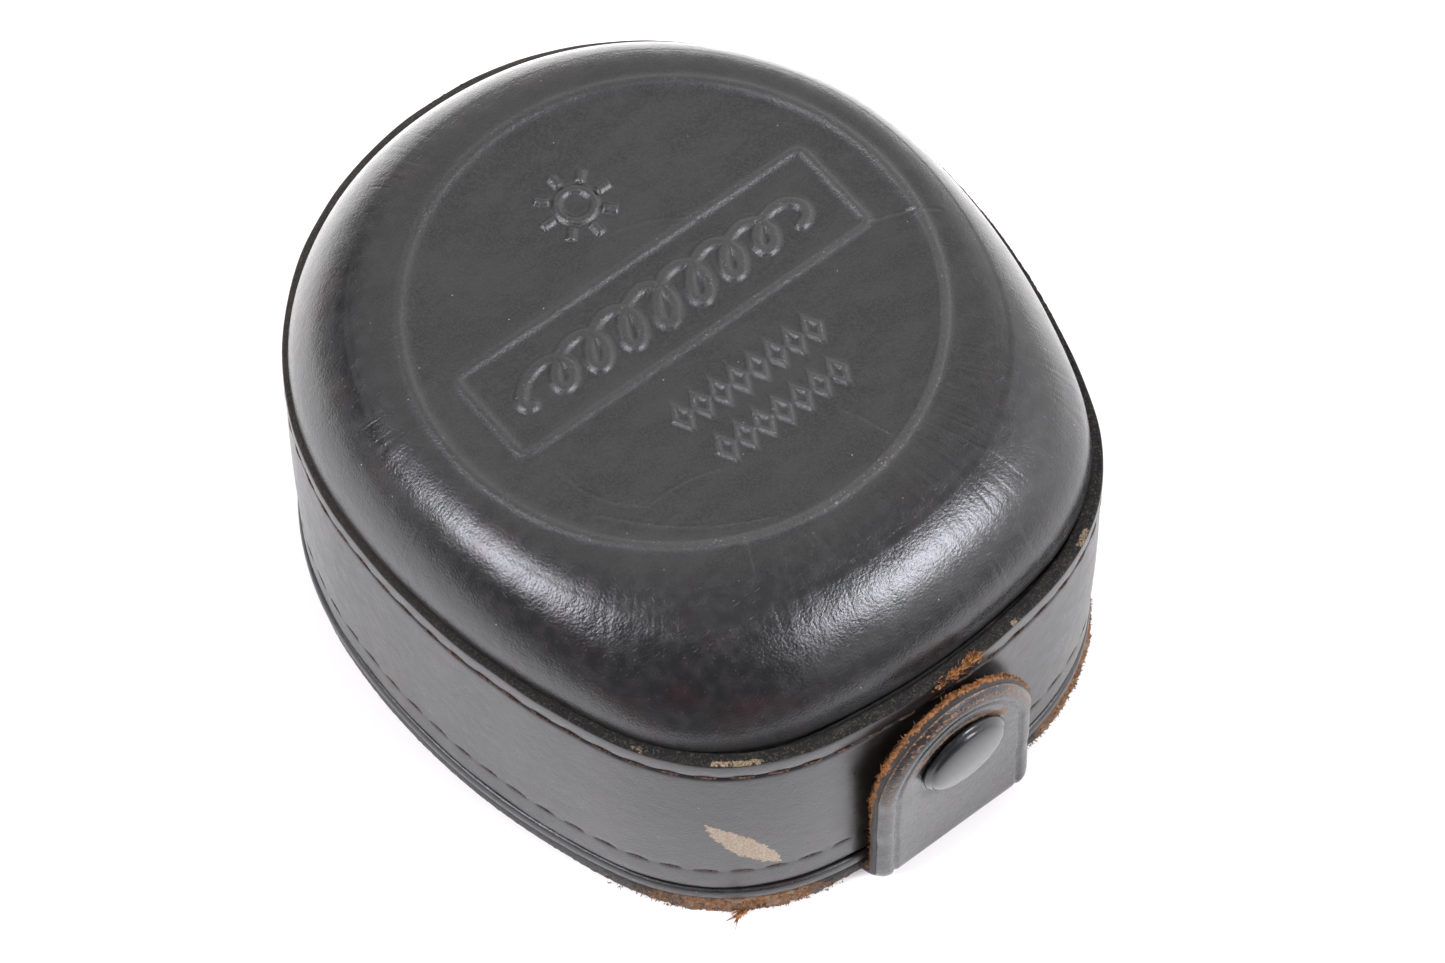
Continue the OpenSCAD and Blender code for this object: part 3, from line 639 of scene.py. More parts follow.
def relief(x, y):
    """Height and ridge mask of the pressed ornament on the flat top."""
    r = np.hypot(x, y)
    h = 0.27 * np.exp(-((r - RING_R) / 0.62) ** 2)
    h -= 0.14 / (1 + np.exp((r - 24.0) / 0.35))
    ridge = np.exp(-((r - RING_R) / 0.62) ** 4)
    box = frame_distance(x, y - 1.25, 20.1, 5.2, 0.9)
    h += 0.28 * np.exp(-(box / 0.56) ** 2)
    ridge = np.maximum(ridge, np.exp(-(box / 0.52) ** 4))
    h -= 0.10 / (1 + np.exp(box / 0.3))
    fx, fy = flourish()
    d = np.full(x.shape, 9.0)
    near = frame_distance(x, y - 1.25, 19.6, 4.4, 1.0) < 0
    d[near] = line_distance(x[near], y[near], fx, fy)
    h += 0.34 * np.exp(-(d / 0.62) ** 3)
    ridge = np.maximum(ridge, np.exp(-(d / 0.58) ** 4))
    # small sun above the frame
    sun = np.hypot(x, y - 14.3)
    angle = np.arctan2(y - 14.3, x)
    rays = np.abs(((angle / (math.pi / 4)) % 1) - 0.5) * 2
    d = np.abs(sun - 1.75)
    d = np.minimum(d, np.where((sun > 2.5) & (sun < 3.9), (1 - rays) * sun * 0.39, 9.0))
    h += 0.32 * np.exp(-(d / 0.45) ** 3)
    ridge = np.maximum(ridge, np.exp(-(d / 0.40) ** 4))
    # two rows of small lozenges below it
    for row_y, first, count in ((-9.5, -6.3, 8), (-14.5, -5.2, 7)):
        for i in range(count):
            cx = first + i * 2.15
            here = (np.abs(x - cx) < 1.6) & (np.abs(y - row_y) < 2.4)
            d = np.abs(np.abs(x[here] - cx) / 0.78 + np.abs(y[here] - row_y) / 1.35 - 1) * 0.66
            h[here] += 0.25 * np.exp(-(d / 0.32) ** 2)
            ridge[here] = np.maximum(ridge[here], np.exp(-(d / 0.30) ** 4))
    for fold in FOLDS:
        px, py = folded(*fold)
        near = (x > px.min() - 1) & (x < px.max() + 1) & (y > py.min() - 1) & (y < py.max() + 1)
        d = line_distance(x[near], y[near], px, py)
        h[near] -= 0.045 * np.exp(-(d / 0.16) ** 2) - 0.02 * np.exp(-((d - 0.36) / 0.16) ** 2)
        ridge[near] = np.maximum(ridge[near], 0.78 * np.exp(-(d / 0.17) ** 2))
    return h, ridge


# Hairline creases of the flat top: both ends and the bow between them, in mm
FOLDS = [((20, -4), (26, -7), 0.4), ((-18.5, -13), (-6, -23), -1.2), ((5.5, -18), (7.5, -24), 0.3),
         ((-10, -23.5), (-12, -27), 0.2), ((-8, -26), (-9, -28), 0.15), ((-5.5, -25.5), (-5.5, -27.5), 0.2),
         ((-14.5, -15), (-7, -16), 0.5), ((-18.5, -7), (-15, -14.5), -1.0), ((-0.5, 10), (8, 6), 0.9)]


def folded(start, end, bow):
    """Points of a shallow arc."""
    t = np.linspace(0, 1, 7)
    dx, dy = end[0] - start[0], end[1] - start[1]
    out = bow * np.sin(math.pi * t) / math.hypot(dx, dy)
    return start[0] + dx * t - dy * out, start[1] + dy * t + dx * out


def level_ring(xy, z):
    return np.concatenate([xy, np.full((N_AROUND, 1), z)], 1)


def quarter(t, low_z):
    """A quarter turn from the foot at t = 0 to the flat top at t = 1: share of the foot, and height."""
    return math.cos(t * math.pi / 2), low_z + (TOP_Z - low_z) * math.sin(t * math.pi / 2)


def build_dome():
    foot = dome_foot()
    angle = np.arctan2(OUT_N[:, 0], OUT_N[:, 1])
    circle = np.stack([np.sin(angle), np.cos(angle)], 1)
    base = inward(foot)
    # each row is its plan, height and dullness: out of the crevice and over the band's edge
    inner = np.maximum(foot + 0.12, 1.66)
    flare = 0.3 * near_front(OUT_S, 26.0, 4.0)
    skirt = [(inner, 26.5), (inner, 28.6), (inner, 29.20), (np.minimum(inner, foot + 0.34), 29.27),
             (np.minimum(inner, foot + 0.10) - flare, 29.36)]
    rows = [(inward(d), z, 1.0) for d, z in skirt]
    # up the wall and over the shoulder
    for j in range(N_SHOULDER + 1):
        t = j / N_SHOULDER
        f, z = quarter(t, FOOT_Z)
        near_foot = math.exp(-((z - FOOT_Z) / 0.8) ** 2)
        xy = base * f + circle * PLATEAU_R * (1 - f) + OUT_N * (flare * near_foot)[:, None]
        rows.append((xy, z, max(0.0, (t - 0.72) / 0.28) ** 1.5 + 0.9 * near_foot))
    # across the flat top to its middle
    radii = np.concatenate([np.arange(PLATEAU_R - 0.16, 3.0, -0.16), np.arange(2.8, 0.1, -0.3), [0.05]])
    rows += [(circle * r, TOP_Z, 1.0) for r in radii]
    verts = np.array([level_ring(xy, z) for xy, z, _ in rows])
    matte = np.repeat([row[2] for row in rows], N_AROUND)
    ridge = np.zeros(verts.shape[:2])
    x, y = verts[:, :, 0], verts[:, :, 1]
    top = verts[:, :, 2] > TOP_Z - 0.9
    height, ridge[top] = relief(x[top], y[top])
    verts[:, :, 2][top] += height - 0.02
    # the flat top sags in two places
    sag = 0.22 * np.exp(-((x - 6) ** 2 + (y + 12) ** 2) / 260.0)
    sag += 0.12 * np.exp(-((x + 12) ** 2 + (y - 8) ** 2) / 120.0)
    verts[:, :, 2] -= np.where(top, sag, 0)
    # underside, coarser, joined to the crevice
    under = [level_ring(circle * 0.05, TOP_Z - DOME_THICK)]
    for j in range(N_UNDER + 1):
        f, z = quarter(1 - j / N_UNDER, SEAM_Z)
        xy = (base - DOME_THICK * OUT_N) * f + circle * (PLATEAU_R - DOME_THICK) * (1 - f)
        under.append(level_ring(xy, max(z - DOME_THICK, 26.6)))
    under.append(level_ring(inward(inner + DOME_THICK), 26.5))
    start = len(rows) * N_AROUND
    lip_a = np.arange(N_AROUND)
    lip_b = (lip_a + 1) % N_AROUND
    last = start + (len(under) - 1) * N_AROUND
    outer_faces = grid_faces(len(rows), N_AROUND, wrap_cols=True, flip=True)
    under_faces = grid_faces(len(under), N_AROUND, wrap_cols=True, flip=True) + start
    lip = np.stack([last + lip_a, lip_a, lip_b, last + lip_b], 1)[:, ::-1]
    face_mat = np.concatenate([np.zeros(len(outer_faces)), np.ones(len(under_faces) + len(lip))])
    pad = np.zeros(len(under) * N_AROUND)
    marks = {"matte": np.concatenate([matte, pad]), "ridge": np.concatenate([ridge.ravel(), pad])}
    make_mesh("case_dome", np.concatenate([verts.reshape(-1, 3), np.array(under).reshape(-1, 3)]),
              np.concatenate([outer_faces, under_faces, lip]), [M_DOME, M_SUEDE], "shell",
              face_mat, None, marks, True, ("top_shell",))


build_dome()


# ---------------------------------------------------------------- band, seam edges and welt
PITCH = GIRTH / round(GIRTH / 3.3)
STITCH_FILL = 0.55
UPPER_ROW_Z, LOWER_ROW_Z = 26.7, 8.0


def band_wave(s):
    """How far the band's face waves inward along the outline."""
    return 0.10 * ripple(s, 40, 11) + 0.04 * ripple(s, 9, 12)


def build_band():
    # up the face past the lower row, up past the groove of the upper row, over the cut top, down the inside
    up = [(0.55, 4.15), (0.22, 4.2), (0.06, 4.45), (0.0, 4.9), (-0.03, 6.0), (-0.04, 7.2), (-0.035, 7.6),
          (-0.02, 7.85), (-0.01, LOWER_ROW_Z), (-0.02, 8.15), (-0.035, 8.4), (-0.05, 9.2), (-0.09, 11.0),
          (-0.12, 13.0), (-0.14, 15.5), (-0.13, 18.0), (-0.10, 20.5), (-0.05, 23.0), (0.0, 25.0),
          (0.02, 25.9), (0.04, 26.3), (0.10, 26.42), (0.26, 26.54), (0.31, UPPER_ROW_Z), (0.25, 26.86),
          (0.07, 26.98), (0.01, 27.12), (-0.03, 27.5), (-0.05, 27.9), (-0.05, 28.4), (-0.03, 28.8),
          (-0.01, 28.98), (0.02, 29.06)]
    raw = [(0.10, 29.13), (0.26, 29.17), (0.45, 29.19), (0.7, SEAM_Z), (0.95, SEAM_Z), (1.2, 29.19),
           (1.38, 29.12)]
    down = [(1.5, 28.9), (1.5, 26.0), (1.5, 20.0), (1.5, 12.0), (1.5, 6.0), (1.5, 4.3), (1.4, 4.15)]
    points, d, z = carried(up + raw + down, N_AROUND)
    n, m = d.shape
    s = OUT_S[:, None]
    outer = np.zeros(m)
    outer[:len(up)] = 1
    d = d + outer * band_wave(s)
    high = np.clip((points[:, 1] - 24) / 4, 0, 1)
    z = z + high * (0.14 * ripple(s, 35, 13) + 0.05 * ripple(s, 5, 14)) * np.where(points[:, 1] > 24, 1, 0)
    is_raw = np.zeros(m)
    is_raw[len(up):len(up) + len(raw)] = 1
    d = d + is_raw * rng.normal(0, 0.02, (n, m))
    z = z + is_raw * rng.normal(0, 0.045, (n, m))
    # puckers where each stitch pulls the leather in, and dark slits under the lower row
    phase = np.abs(((OUT_S / PITCH) % 1) - 0.5) * 2
    slit = np.exp(-((points[:, 1] - LOWER_ROW_Z) / 0.12) ** 2)[None, :]
    slit = 0.13 * (phase < STITCH_FILL + 0.06)[:, None] * slit
    for row_z, reach, depth, cut in ((UPPER_ROW_Z, 0.9, 0.05, 0), (LOWER_ROW_Z, 0.8, 0.035, slit)):
        pull = depth * (1 - phase)[:, None] * np.exp(-((z - row_z) / reach) ** 2)
        d = d + outer * (pull + cut)
    seg = [0] * (len(up) - 1) + [1] * (len(raw) + 1) + [2] * (len(down))
    x = OUT_P[:, 0]
    front = OUT_P[:, 1] < 0
    torn = np.zeros(n)
    for x0, x1 in ((-23.2, -18.6), (-27.5, -26.4), (-15.8, -15.0), (7.2, 8.3), (17.3, 19.7)):
        torn += np.where(front, 1 / (1 + np.exp(-(x - x0) / 0.2)) / (1 + np.exp((x - x1) / 0.2)), 0)
    lip_share = np.exp(-((points[:, 0] - 0.32) / 0.42) ** 4) * (points[:, 1] > 28.9)
    aged = 1 / (1 + np.exp(-(OUT_P[:, 1] + 8.0) / 6.0))
    marks = {"torn": torn[:, None] * lip_share[None, :], "aged": np.tile(aged[:, None], (1, m))}
    sweep("case_band", d, z, [M_BAND, M_LIP, M_SUEDE], "shell", seg, marks, ("side_band",))


build_band()


def build_flange():
    foot = dome_foot()[:, None]
    # the first number is a share of the width between the band and the dome
    points = [(0.0, 25.0), (0.0, 28.6), (0.04, 28.9), (0.2, 29.0), (0.5, 29.02), (0.8, 29.0), (0.96, 28.9),
              (1.0, 28.6), (1.0, 25.0)]
    points, across, z = carried(points, N_AROUND)
    d = FLANGE_IN + across * (foot - 0.16 - FLANGE_IN)
    z = z - 0.28 * (1 - near_front(OUT_S, 14.0, 3.0))[:, None]
    rough = 0.09 * ripple(OUT_S, 12, 21)[:, None] + rng.normal(0, 0.04, d.shape)
    z = z + np.where(points[:, 1] > 28, 1, 0) * rough
    seg = [0, 1, 1, 1, 1, 1, 1, 0, 0]
    sweep("seam_flange", d, z, [M_SUEDE, M_RAW_DARK], "shell", seg)


build_flange()


def build_welt():
    k = 20
    a = np.linspace(0, 2 * math.pi, k, endpoint=False)
    half_d, half_z = 0.42, 0.78
    d0, z0 = 0.2, 3.12
    n = N_AROUND
    cs, sn = np.cos(a), np.sin(a)
    d = np.tile(d0 - half_d * np.sign(cs) * np.abs(cs) ** 0.8, (n, 1))
    z = np.tile(z0 + half_z * np.sign(sn) * np.abs(sn) ** 0.8, (n, 1))
    d = d + 0.05 * ripple(OUT_S, 15, 31)[:, None]
    z = z + 0.05 * ripple(OUT_S, 20, 32)[:, None]
    sweep("case_welt", d, z, [M_WELT], "shell", [0] * k, replaces=("bottom_welt",))


build_welt()


# ---------------------------------------------------------------- base leather
def base_edge():
    """Cut edge of the base: dyed black, with loose brown fibres where it is frayed."""
    material, g = new_material("edge_base")
    co = rest(g)
    fibre = g.noise(g.stretch(co, 1.0, 1.0, 1.6), 2.8, 6.0, 0.75, 1.0)
    patch = g.noise(co, 0.5, 4.0, 0.6)
    share = g.plus(g.times(mark(g, "bare"), 0.85), g.around(patch))
    share = g.plus(share, g.times(g.around(fibre), 0.9))
    share = g.step(share, 0.48, 0.85)
    brown = g.mix(g.step(fibre, 0.35, 0.62), (0.045, 0.022, 0.012, 1), (0.27, 0.125, 0.05, 1))
    brown = g.mix(g.step(g.noise(co, 1.7, 3.0), 0.52, 0.62), brown, (0.20, 0.15, 0.10, 1))
    g.feed(colour=g.mix(share, (0.017, 0.015, 0.014, 1), brown))
    g.feed(rough=g.blend(share, 0.45, 0.9))
    bump(g, fibre, 0.3)
    return material


M_BASE_EDGE = base_edge()


def base_frayed():
    """1 where the base's cut edge shows, at the front left and along the right corner."""
    x = OUT_P[:, 0]
    front = OUT_P[:, 1] < 0
    left = np.where(front, np.exp(-(((x + 19.5) / 8.5) ** 4)), 0)
    right = np.where(front & (x > 0), np.exp(-(((x - 19) / 8.5) ** 4)), 0)
    return smooth_closed(np.clip(left + right, 0, 1)[:, None], 2.0)[:, 0]


def build_base():
    under = [(8.0, 0.0), (2.0, 0.0), (0.3, 0.0)]
    cut = [(-0.08, 0.08), (-0.24, 0.35), (-0.3, 0.75), (-0.32, 1.15), (-0.3, 1.5), (-0.25, 1.8), (-0.1, 2.1)]
    over = [(0.2, 2.2), (2.0, 2.2), (8.0, 2.2)]
    _, d, z = carried(under + cut + over, N_AROUND)
    n, m = d.shape
    edge = np.zeros(m)
    edge[3:10] = 1
    frayed = base_frayed()[:, None]
    tufts = 0.10 * ripple(OUT_S, 3, 42)[:, None] + 0.08 * ripple(OUT_S, 8, 41)[:, None]
    d = d + edge * frayed * (rng.normal(0, 0.09, (n, m)) + tufts - 0.06) + edge * 0.42 * (1 - frayed)
    z = np.clip(z + edge * rng.normal(0, 0.05, (n, m)), 0.0, 2.3)
    seg = [0, 0, 1, 1, 1, 1, 1, 1, 1, 1, 0, 0]
    faces = quad_list(grid_faces(n, m, wrap_rows=True))
    face_mat = list(np.tile(seg, n))
    bottom = tuple(i * m for i in range(n))
    top = tuple(i * m + m - 1 for i in range(n))
    faces += [bottom, top[::-1]]
    face_mat += [0, 0]
    uv = np.stack([np.repeat(OUT_S, m), z.ravel()], 1)
    marks = {"bare": np.repeat(base_frayed(), m)}
    make_mesh("case_base", swept(d, z), faces, [M_BASE, M_BASE_EDGE], "base", face_mat, uv,
              marks, True, ("base_panel",))


build_base()


def fibre_material():
    material, g = new_material("loose_fibre", Roughness=0.85, Specular_IOR_Level=0.2)
    co = rest(g)
    tone = g.step(g.noise(co, 1.4, 4.0, 0.7), 0.38, 0.62)
    g.feed(colour=g.mix(tone, (0.06, 0.026, 0.012, 1), (0.34, 0.15, 0.052, 1)))
    bump(g, g.noise(co, 9.0, 2.0), 0.05)
    return material


M_FIBRE = fibre_material()


def fibres(name, roots, ways, length, radius, spread, seed, body):
    """Loose leather fibres: one thin bent strand from each root, leaning out along its way."""
    r = np.random.default_rng(seed)
    verts, faces = [], []
    steps, sides = 4, 3
    for root, way in zip(roots, ways):
        way = np.array(way) + r.normal(0, spread, 3)
        way /= np.linalg.norm(way) + 1e-9
        turn = r.normal(0, 0.6, 3)
        across = np.cross(way, r.normal(0, 1, 3))
        across /= np.linalg.norm(across) + 1e-9
        other = np.cross(way, across)
        long = length * r.uniform(0.5, 1.5)
        thick = radius * r.uniform(0.6, 1.5)
        first = len(verts)
        for j in range(steps):
            u = j / (steps - 1)
            mid = np.array(root) + way * long * (u - 0.15) + turn * long * 0.5 * u * u
            mid[2] = max(mid[2], thick + 0.02)
            w = thick * (1.0 - 0.6 * u)
            for k in range(sides):
                a = 2 * math.pi * k / sides
                verts.append(mid + w * (across * math.cos(a) + other * math.sin(a)))
        close_tube(faces, first, steps, sides)
    make_mesh(name, verts, faces, [M_FIBRE], body)


def base_fringe():
    r = np.random.default_rng(61)
    count = 700
    frayed = np.clip(base_frayed() - 0.2, 0, 1)
    pick = r.choice(N_AROUND, count, p=frayed / frayed.sum())
    height = r.uniform(0.15, 2.05, count)
    roots = np.concatenate([OUT_P[pick] + 0.25 * OUT_N[pick], height[:, None]], 1)
    ways = np.stack([OUT_N[pick, 0], OUT_N[pick, 1], r.uniform(-0.5, 0.3, count)], 1)
    fibres("base_fringe", roots, ways, 0.20, 0.07, 0.5, 62, "base")
    i = nearest(-20.3, -36.1)
    out = np.array([OUT_N[i, 0], OUT_N[i, 1], -0.1])
    root = np.array([OUT_P[i, 0], OUT_P[i, 1], 0.5]) + 0.3 * out
    roots = root + r.normal(0, 0.16, (44, 3))
    ways = np.tile((-1.0, -0.05, 0.0), (44, 1))
    fibres("base_tuft", roots, ways, 1.1, 0.10, 0.08, 63, "base")


def seam_tufts():
    """Torn fibres that stand on the seam above the tongue."""
    r = np.random.default_rng(64)
    roots, ways = [], []
    for x, count, size, lean in ((2.6, 150, 0.34, (0.9, 0.3, 0.35)), (1.9, 110, 0.30, (0.8, 0.1, 0.4)),
                                 (0.5, 110, 0.26, (0.3, -0.2, 0.5)), (-0.9, 24, 0.4, (-0.9, -0.1, 0.25))):
        centre = np.array([x - 0.4, OUT_P[nearest(x, FRONT_Y), 1] + 0.12, 29.05])
        roots.append(centre + r.normal(0, 1, (count, 3)) * (size * 1.2, size * 0.55, size * 0.35))
        ways.append(np.tile(lean, (count, 1)))
    roots, ways = np.concatenate(roots), np.concatenate(ways)
    fibres("seam_tufts", roots, ways, 0.5, 0.10, 0.14, 65, "shell")


base_fringe()
seam_tufts()


# ---------------------------------------------------------------- stitches
def thread_material():
    material, g = new_material("thread", Roughness=0.8, Specular_IOR_Level=0.2)
    co = rest(g)
    twist = g.noise(co, 4.0, 3.0)
    g.feed(colour=g.mix(g.step(twist, 0.35, 0.7), (0.012, 0.009, 0.008, 1), (0.115, 0.065, 0.05, 1)))
    bump(g, twist, 0.08)
    return material


M_THREAD = thread_material()


def build_stitches(name, row_z, depth, radius, fill, seed, node):
    count = round(GIRTH / PITCH)
    r = np.random.default_rng(seed)
    wave = band_wave(OUT_S)
    verts, faces = [], []
    steps, sides = 9, 8
    for i in range(count):
        mid = (i + 0.5) * PITCH + r.normal(0, 0.06)
        half = fill * PITCH / 2 * r.uniform(0.88, 1.08)
        slant = r.normal(0.06, 0.04)
        first = len(verts)
        for j in range(steps):
            u = -1 + 2 * j / (steps - 1)
            s = (mid + u * half) % GIRTH
            f = s / GIRTH * N_AROUND
            i0, i1, w = int(f) % N_AROUND, (int(f) + 1) % N_AROUND, f - int(f)
            p, n, sunk = (row[i0] * (1 - w) + row[i1] * w for row in (OUT_P, OUT_N, wave))
            rise = math.sqrt(max(0.0, 1 - u * u)) ** 0.6
            rad = radius * (0.55 + 0.45 * rise)
            d = depth + sunk + 0.32 * (1 - rise)
            c = Vector((p[0] - n[0] * d, p[1] - n[1] * d, row_z + slant * u * half))
            for k in range(sides):
                a = 2 * math.pi * k / sides + u * 2.5
                verts.append((c.x + n[0] * rad * math.cos(a), c.y + n[1] * rad * math.cos(a),
                              c.z + rad * math.sin(a)))
        close_tube(faces, first, steps, sides)
    make_mesh(name, verts, faces, [M_THREAD], "shell", replaces=(node,))


build_stitches("stitches_upper", UPPER_ROW_Z - 0.01, 0.06, 0.15, 0.80, 51, "top_stitches")
build_stitches("stitches_lower", LOWER_ROW_Z, 0.05, 0.11, STITCH_FILL, 52, "bottom_stitches")

# ---------------------------------------------------------------- tongue
TONGUE_W, TONGUE_H, TONGUE_T = 18.4, 28.2, 1.9
BASE_MID, BEND, LEAN = 1.1, 2.2, math.radians(1.5)
FOLD_Y = CAD_FRONT_Y - 1.3


def tongue_path(length, h):
    """Where a point lies: length along the leather from the end of its bend, h outward from its middle."""
    arc = BEND * (math.pi / 2 + LEAN)
    cy, cz = FOLD_Y + BEND, BASE_MID + BEND
    y, z = np.zeros_like(length), np.zeros_like(length)
    ny, nz = np.zeros_like(length), np.zeros_like(length)
    back, up = length < -arc, length >= 0
    turn = ~back & ~up
    a = (length + arc) / BEND
    y = np.where(back, cy - (length + arc), y)
    z = np.where(back, BASE_MID, z)
    nz = np.where(back, -1.0, nz)
    y = np.where(turn, cy - BEND * np.sin(a), y)
    z = np.where(turn, cz - BEND * np.cos(a), z)
    ny = np.where(turn, -np.sin(a), ny)
    nz = np.where(turn, -np.cos(a), nz)
    top_a = arc / BEND
    sy, sz = cy - BEND * math.sin(top_a), cz - BEND * math.cos(top_a)
    y = np.where(up, sy - length * math.sin(LEAN), y)
    z = np.where(up, sz + length * math.cos(LEAN), z)
    ny = np.where(up, -math.cos(LEAN), ny)
    nz = np.where(up, -math.sin(LEAN), nz)
    return y + h * ny, z + h * nz


# Length along the tongue of height z above the table, on its straight part
def along(z):
    return (z - BASE_MID - BEND) / math.cos(LEAN)


CAP_R = 4.75
SNAP_L = along(19.0)
ARCH_L, APEX_L = along(16.6), along(TONGUE_H)


def tongue_plan():
    """The tongue laid flat: place across it, length along it, and distance from its edge, over a grid."""
    margin = 0.10
    low = -BEND * (math.pi / 2 + LEAN) - 3.0
    straight = np.concatenate([np.arange(low, 0.3, 0.16), np.arange(0.3, ARCH_L - 0.2, 0.22)])
    curve = ARCH_L + (APEX_L - ARCH_L) * np.sin(np.linspace(0, math.pi / 2, 110))
    length = np.concatenate([straight, curve])
    u = np.clip((length - ARCH_L) / (APEX_L - ARCH_L), 0, 1)
    half = (TONGUE_W / 2 - margin) * np.sqrt(np.maximum(0, 1 - u ** 2.15))
    half[-1] = 0.5
    wobble = 0.05 * np.sin(length * 0.9) + 0.02 * np.sin(length * 1.7 + 1)
    across = np.sin(np.linspace(-math.pi / 2, math.pi / 2, 101))
    x = (half + wobble * (half > 2))[:, None] * across[None, :]
    long = np.tile(length[:, None], (1, len(across)))
    rim_x = np.concatenate([x[:, 0], x[::-1, -1]])
    edge = line_distance(x, long, rim_x, np.concatenate([length, length[::-1]]))
    # the end under the base is no edge
    edge = np.where(long < low + 2, np.minimum(np.abs(x - x[:, :1]), np.abs(x - x[:, -1:])), edge)
    return x, long, edge


def tongue_height(x, long, edge, snap):
    """How far the face stands out: a rounded rim, the creased line, then the flat with the cap's dent."""
    h = np.full(x.shape, TONGUE_T / 2)
    h -= 0.75 * (1 - np.clip(edge / 1.15, 0, 1)) ** 2
    h -= 0.20 * np.exp(-((edge - 1.75) / 0.2) ** 2)
    h += 0.04 * np.exp(-((edge - 1.3) / 0.3) ** 2)
    h -= 0.16 * np.exp(-((snap - CAP_R) / 0.8) ** 2)
    h += 0.05 * np.sin(x * 0.4 + 1) * np.sin(long * 0.23)
    return h


def cut_rows(face_rim, back_rim, way, arch):
    """Rows of points down the cut edge, each with its share of the way: swollen, ragged over the arch."""
    count = len(face_rim)
    ragged = rng.normal(0, 1, count)
    for _ in range(4):
        ragged = (np.roll(ragged, 1) + 2 * ragged + np.roll(ragged, -1)) / 4
    ragged = np.abs(ragged) * 1.6 * (0.25 + 0.75 * arch)
    rows = []
    for k in range(1, EDGE_LAYERS):
        w = k / EDGE_LAYERS
        swell = 0.22 * math.sin(math.pi * w) + rng.normal(0, 0.03, count) * max(0.0, w - 0.3)
        swell += np.where(w > 0.4, 0.17 * ragged * math.sin(math.pi * min(1.0, (w - 0.4) / 0.6)), 0)
        rows.append((face_rim * (1 - w) + back_rim * w + way * swell[:, None], w))
    return rows


EDGE_LAYERS = 8


def build_tongue():
    x, long, edge = tongue_plan()
    rows, cols = x.shape
    snap = np.hypot(x, long - SNAP_L)
    h = tongue_height(x, long, edge, snap)
    skew = -0.035 * np.clip(long, 0, None)
    drop = -0.10 * np.clip(x + 1.0, 0, None) * np.clip((long - ARCH_L + 3) / 8, 0, 1)
    y, z = tongue_path(long + drop, h)
    yb, zb = tongue_path(long + drop, np.full(x.shape, -TONGUE_T / 2) + 0.12 * np.exp(-edge / 0.3))
    px = x + TONGUE_X + skew + 0.3
    front = np.stack([px, y, z], 2).reshape(-1, 3)
    rear = np.stack([px, yb, zb], 2).reshape(-1, 3)
    # the rim runs up one side, over the arch and down the other side
    loop = [r * cols for r in range(rows)] + [(rows - 1) * cols + c for c in range(1, cols)]
    loop += [r * cols + cols - 1 for r in range(rows - 2, -1, -1)]
    loop = np.array(loop)
    k = len(loop)
    arch = np.clip((long - ARCH_L + 4) / 6, 0, 1).ravel()
    rim_long, rim_arch = long.ravel()[loop], arch[loop]
    way = np.stack([x.ravel()[loop], np.zeros(k), np.clip(rim_long - ARCH_L + 2, 0, None)], 1)
    way /= np.linalg.norm(way, axis=1)[:, None] + 1e-9
    a, b = front[loop], rear[loop]
    cut = cut_rows(a, b, way, rim_arch)
    start = 2 * rows * cols
    chain = [loop] + [start + j * k + np.arange(k) for j in range(len(cut))] + [loop + rows * cols]
    sides = np.concatenate([np.stack([c0[:-1], c0[1:], c1[1:], c1[:-1]], 1)[:, ::-1]
                            for c0, c1 in zip(chain[:-1], chain[1:])])
    face_quads = grid_faces(rows, cols)
    back_quads = grid_faces(rows, cols, flip=True) + rows * cols
    faces = np.concatenate([face_quads, back_quads, sides])
    face_mat = np.repeat([0, 2, 1], [len(face_quads), len(back_quads), len(sides)])
    # wear: scuffs above the cap, rubbed rim and crease
    over = arch.reshape(x.shape)
    scuff = 0.95 * np.exp(-((snap - 5.5) / 0.9) ** 2) * np.clip((long - SNAP_L + 1) / 4, 0, 1)
    rub = np.exp(-((edge - 0.6) / 0.5) ** 2) * (0.42 + 0.35 * over)
    rub += np.exp(-edge / 0.12) * (0.3 + 0.6 * over)
    crest = 0.35 * np.exp(-((edge - 2.3) / 0.3) ** 2) * over
    scuffed = np.clip(scuff + rub + crest, 0, 1).ravel()
    marks = {"scuff": np.concatenate([scuffed, np.zeros(len(rear)), np.ones(len(cut) * k)]),
             "raw": np.concatenate([np.zeros(len(front)), np.ones(len(rear)),
                                    np.repeat([w for _, w in cut], k)]),
             "arch": np.concatenate([arch, arch, np.tile(rim_arch, len(cut))])}
    verts = np.concatenate([front, rear] + [points for points, _ in cut])
    materials = [M_TONGUE_WORN, M_TONGUE_EDGE, M_SUEDE]
    obj = make_mesh("case_tongue", verts, faces, materials, None, face_mat, None, marks,
                    True, ("tongue",))
    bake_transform(obj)
    # loose fibres along the cut edge, thickest over the arch
    r = np.random.default_rng(71)
    count = 1300
    odds = np.where(rim_long > 2.0, 0.25 + rim_arch, 0)
    pick = r.choice(k, count, p=odds / odds.sum())
    share = r.uniform(0.45, 1.0, count)[:, None]
    roots = a[pick] * (1 - share) + b[pick] * share + 0.18 * way[pick]
    ways = way[pick] + (0, 0.25, 0)
    fibres("tongue_fringe", roots, ways, 0.22, 0.066, 0.5, 72, "tongue_flap")


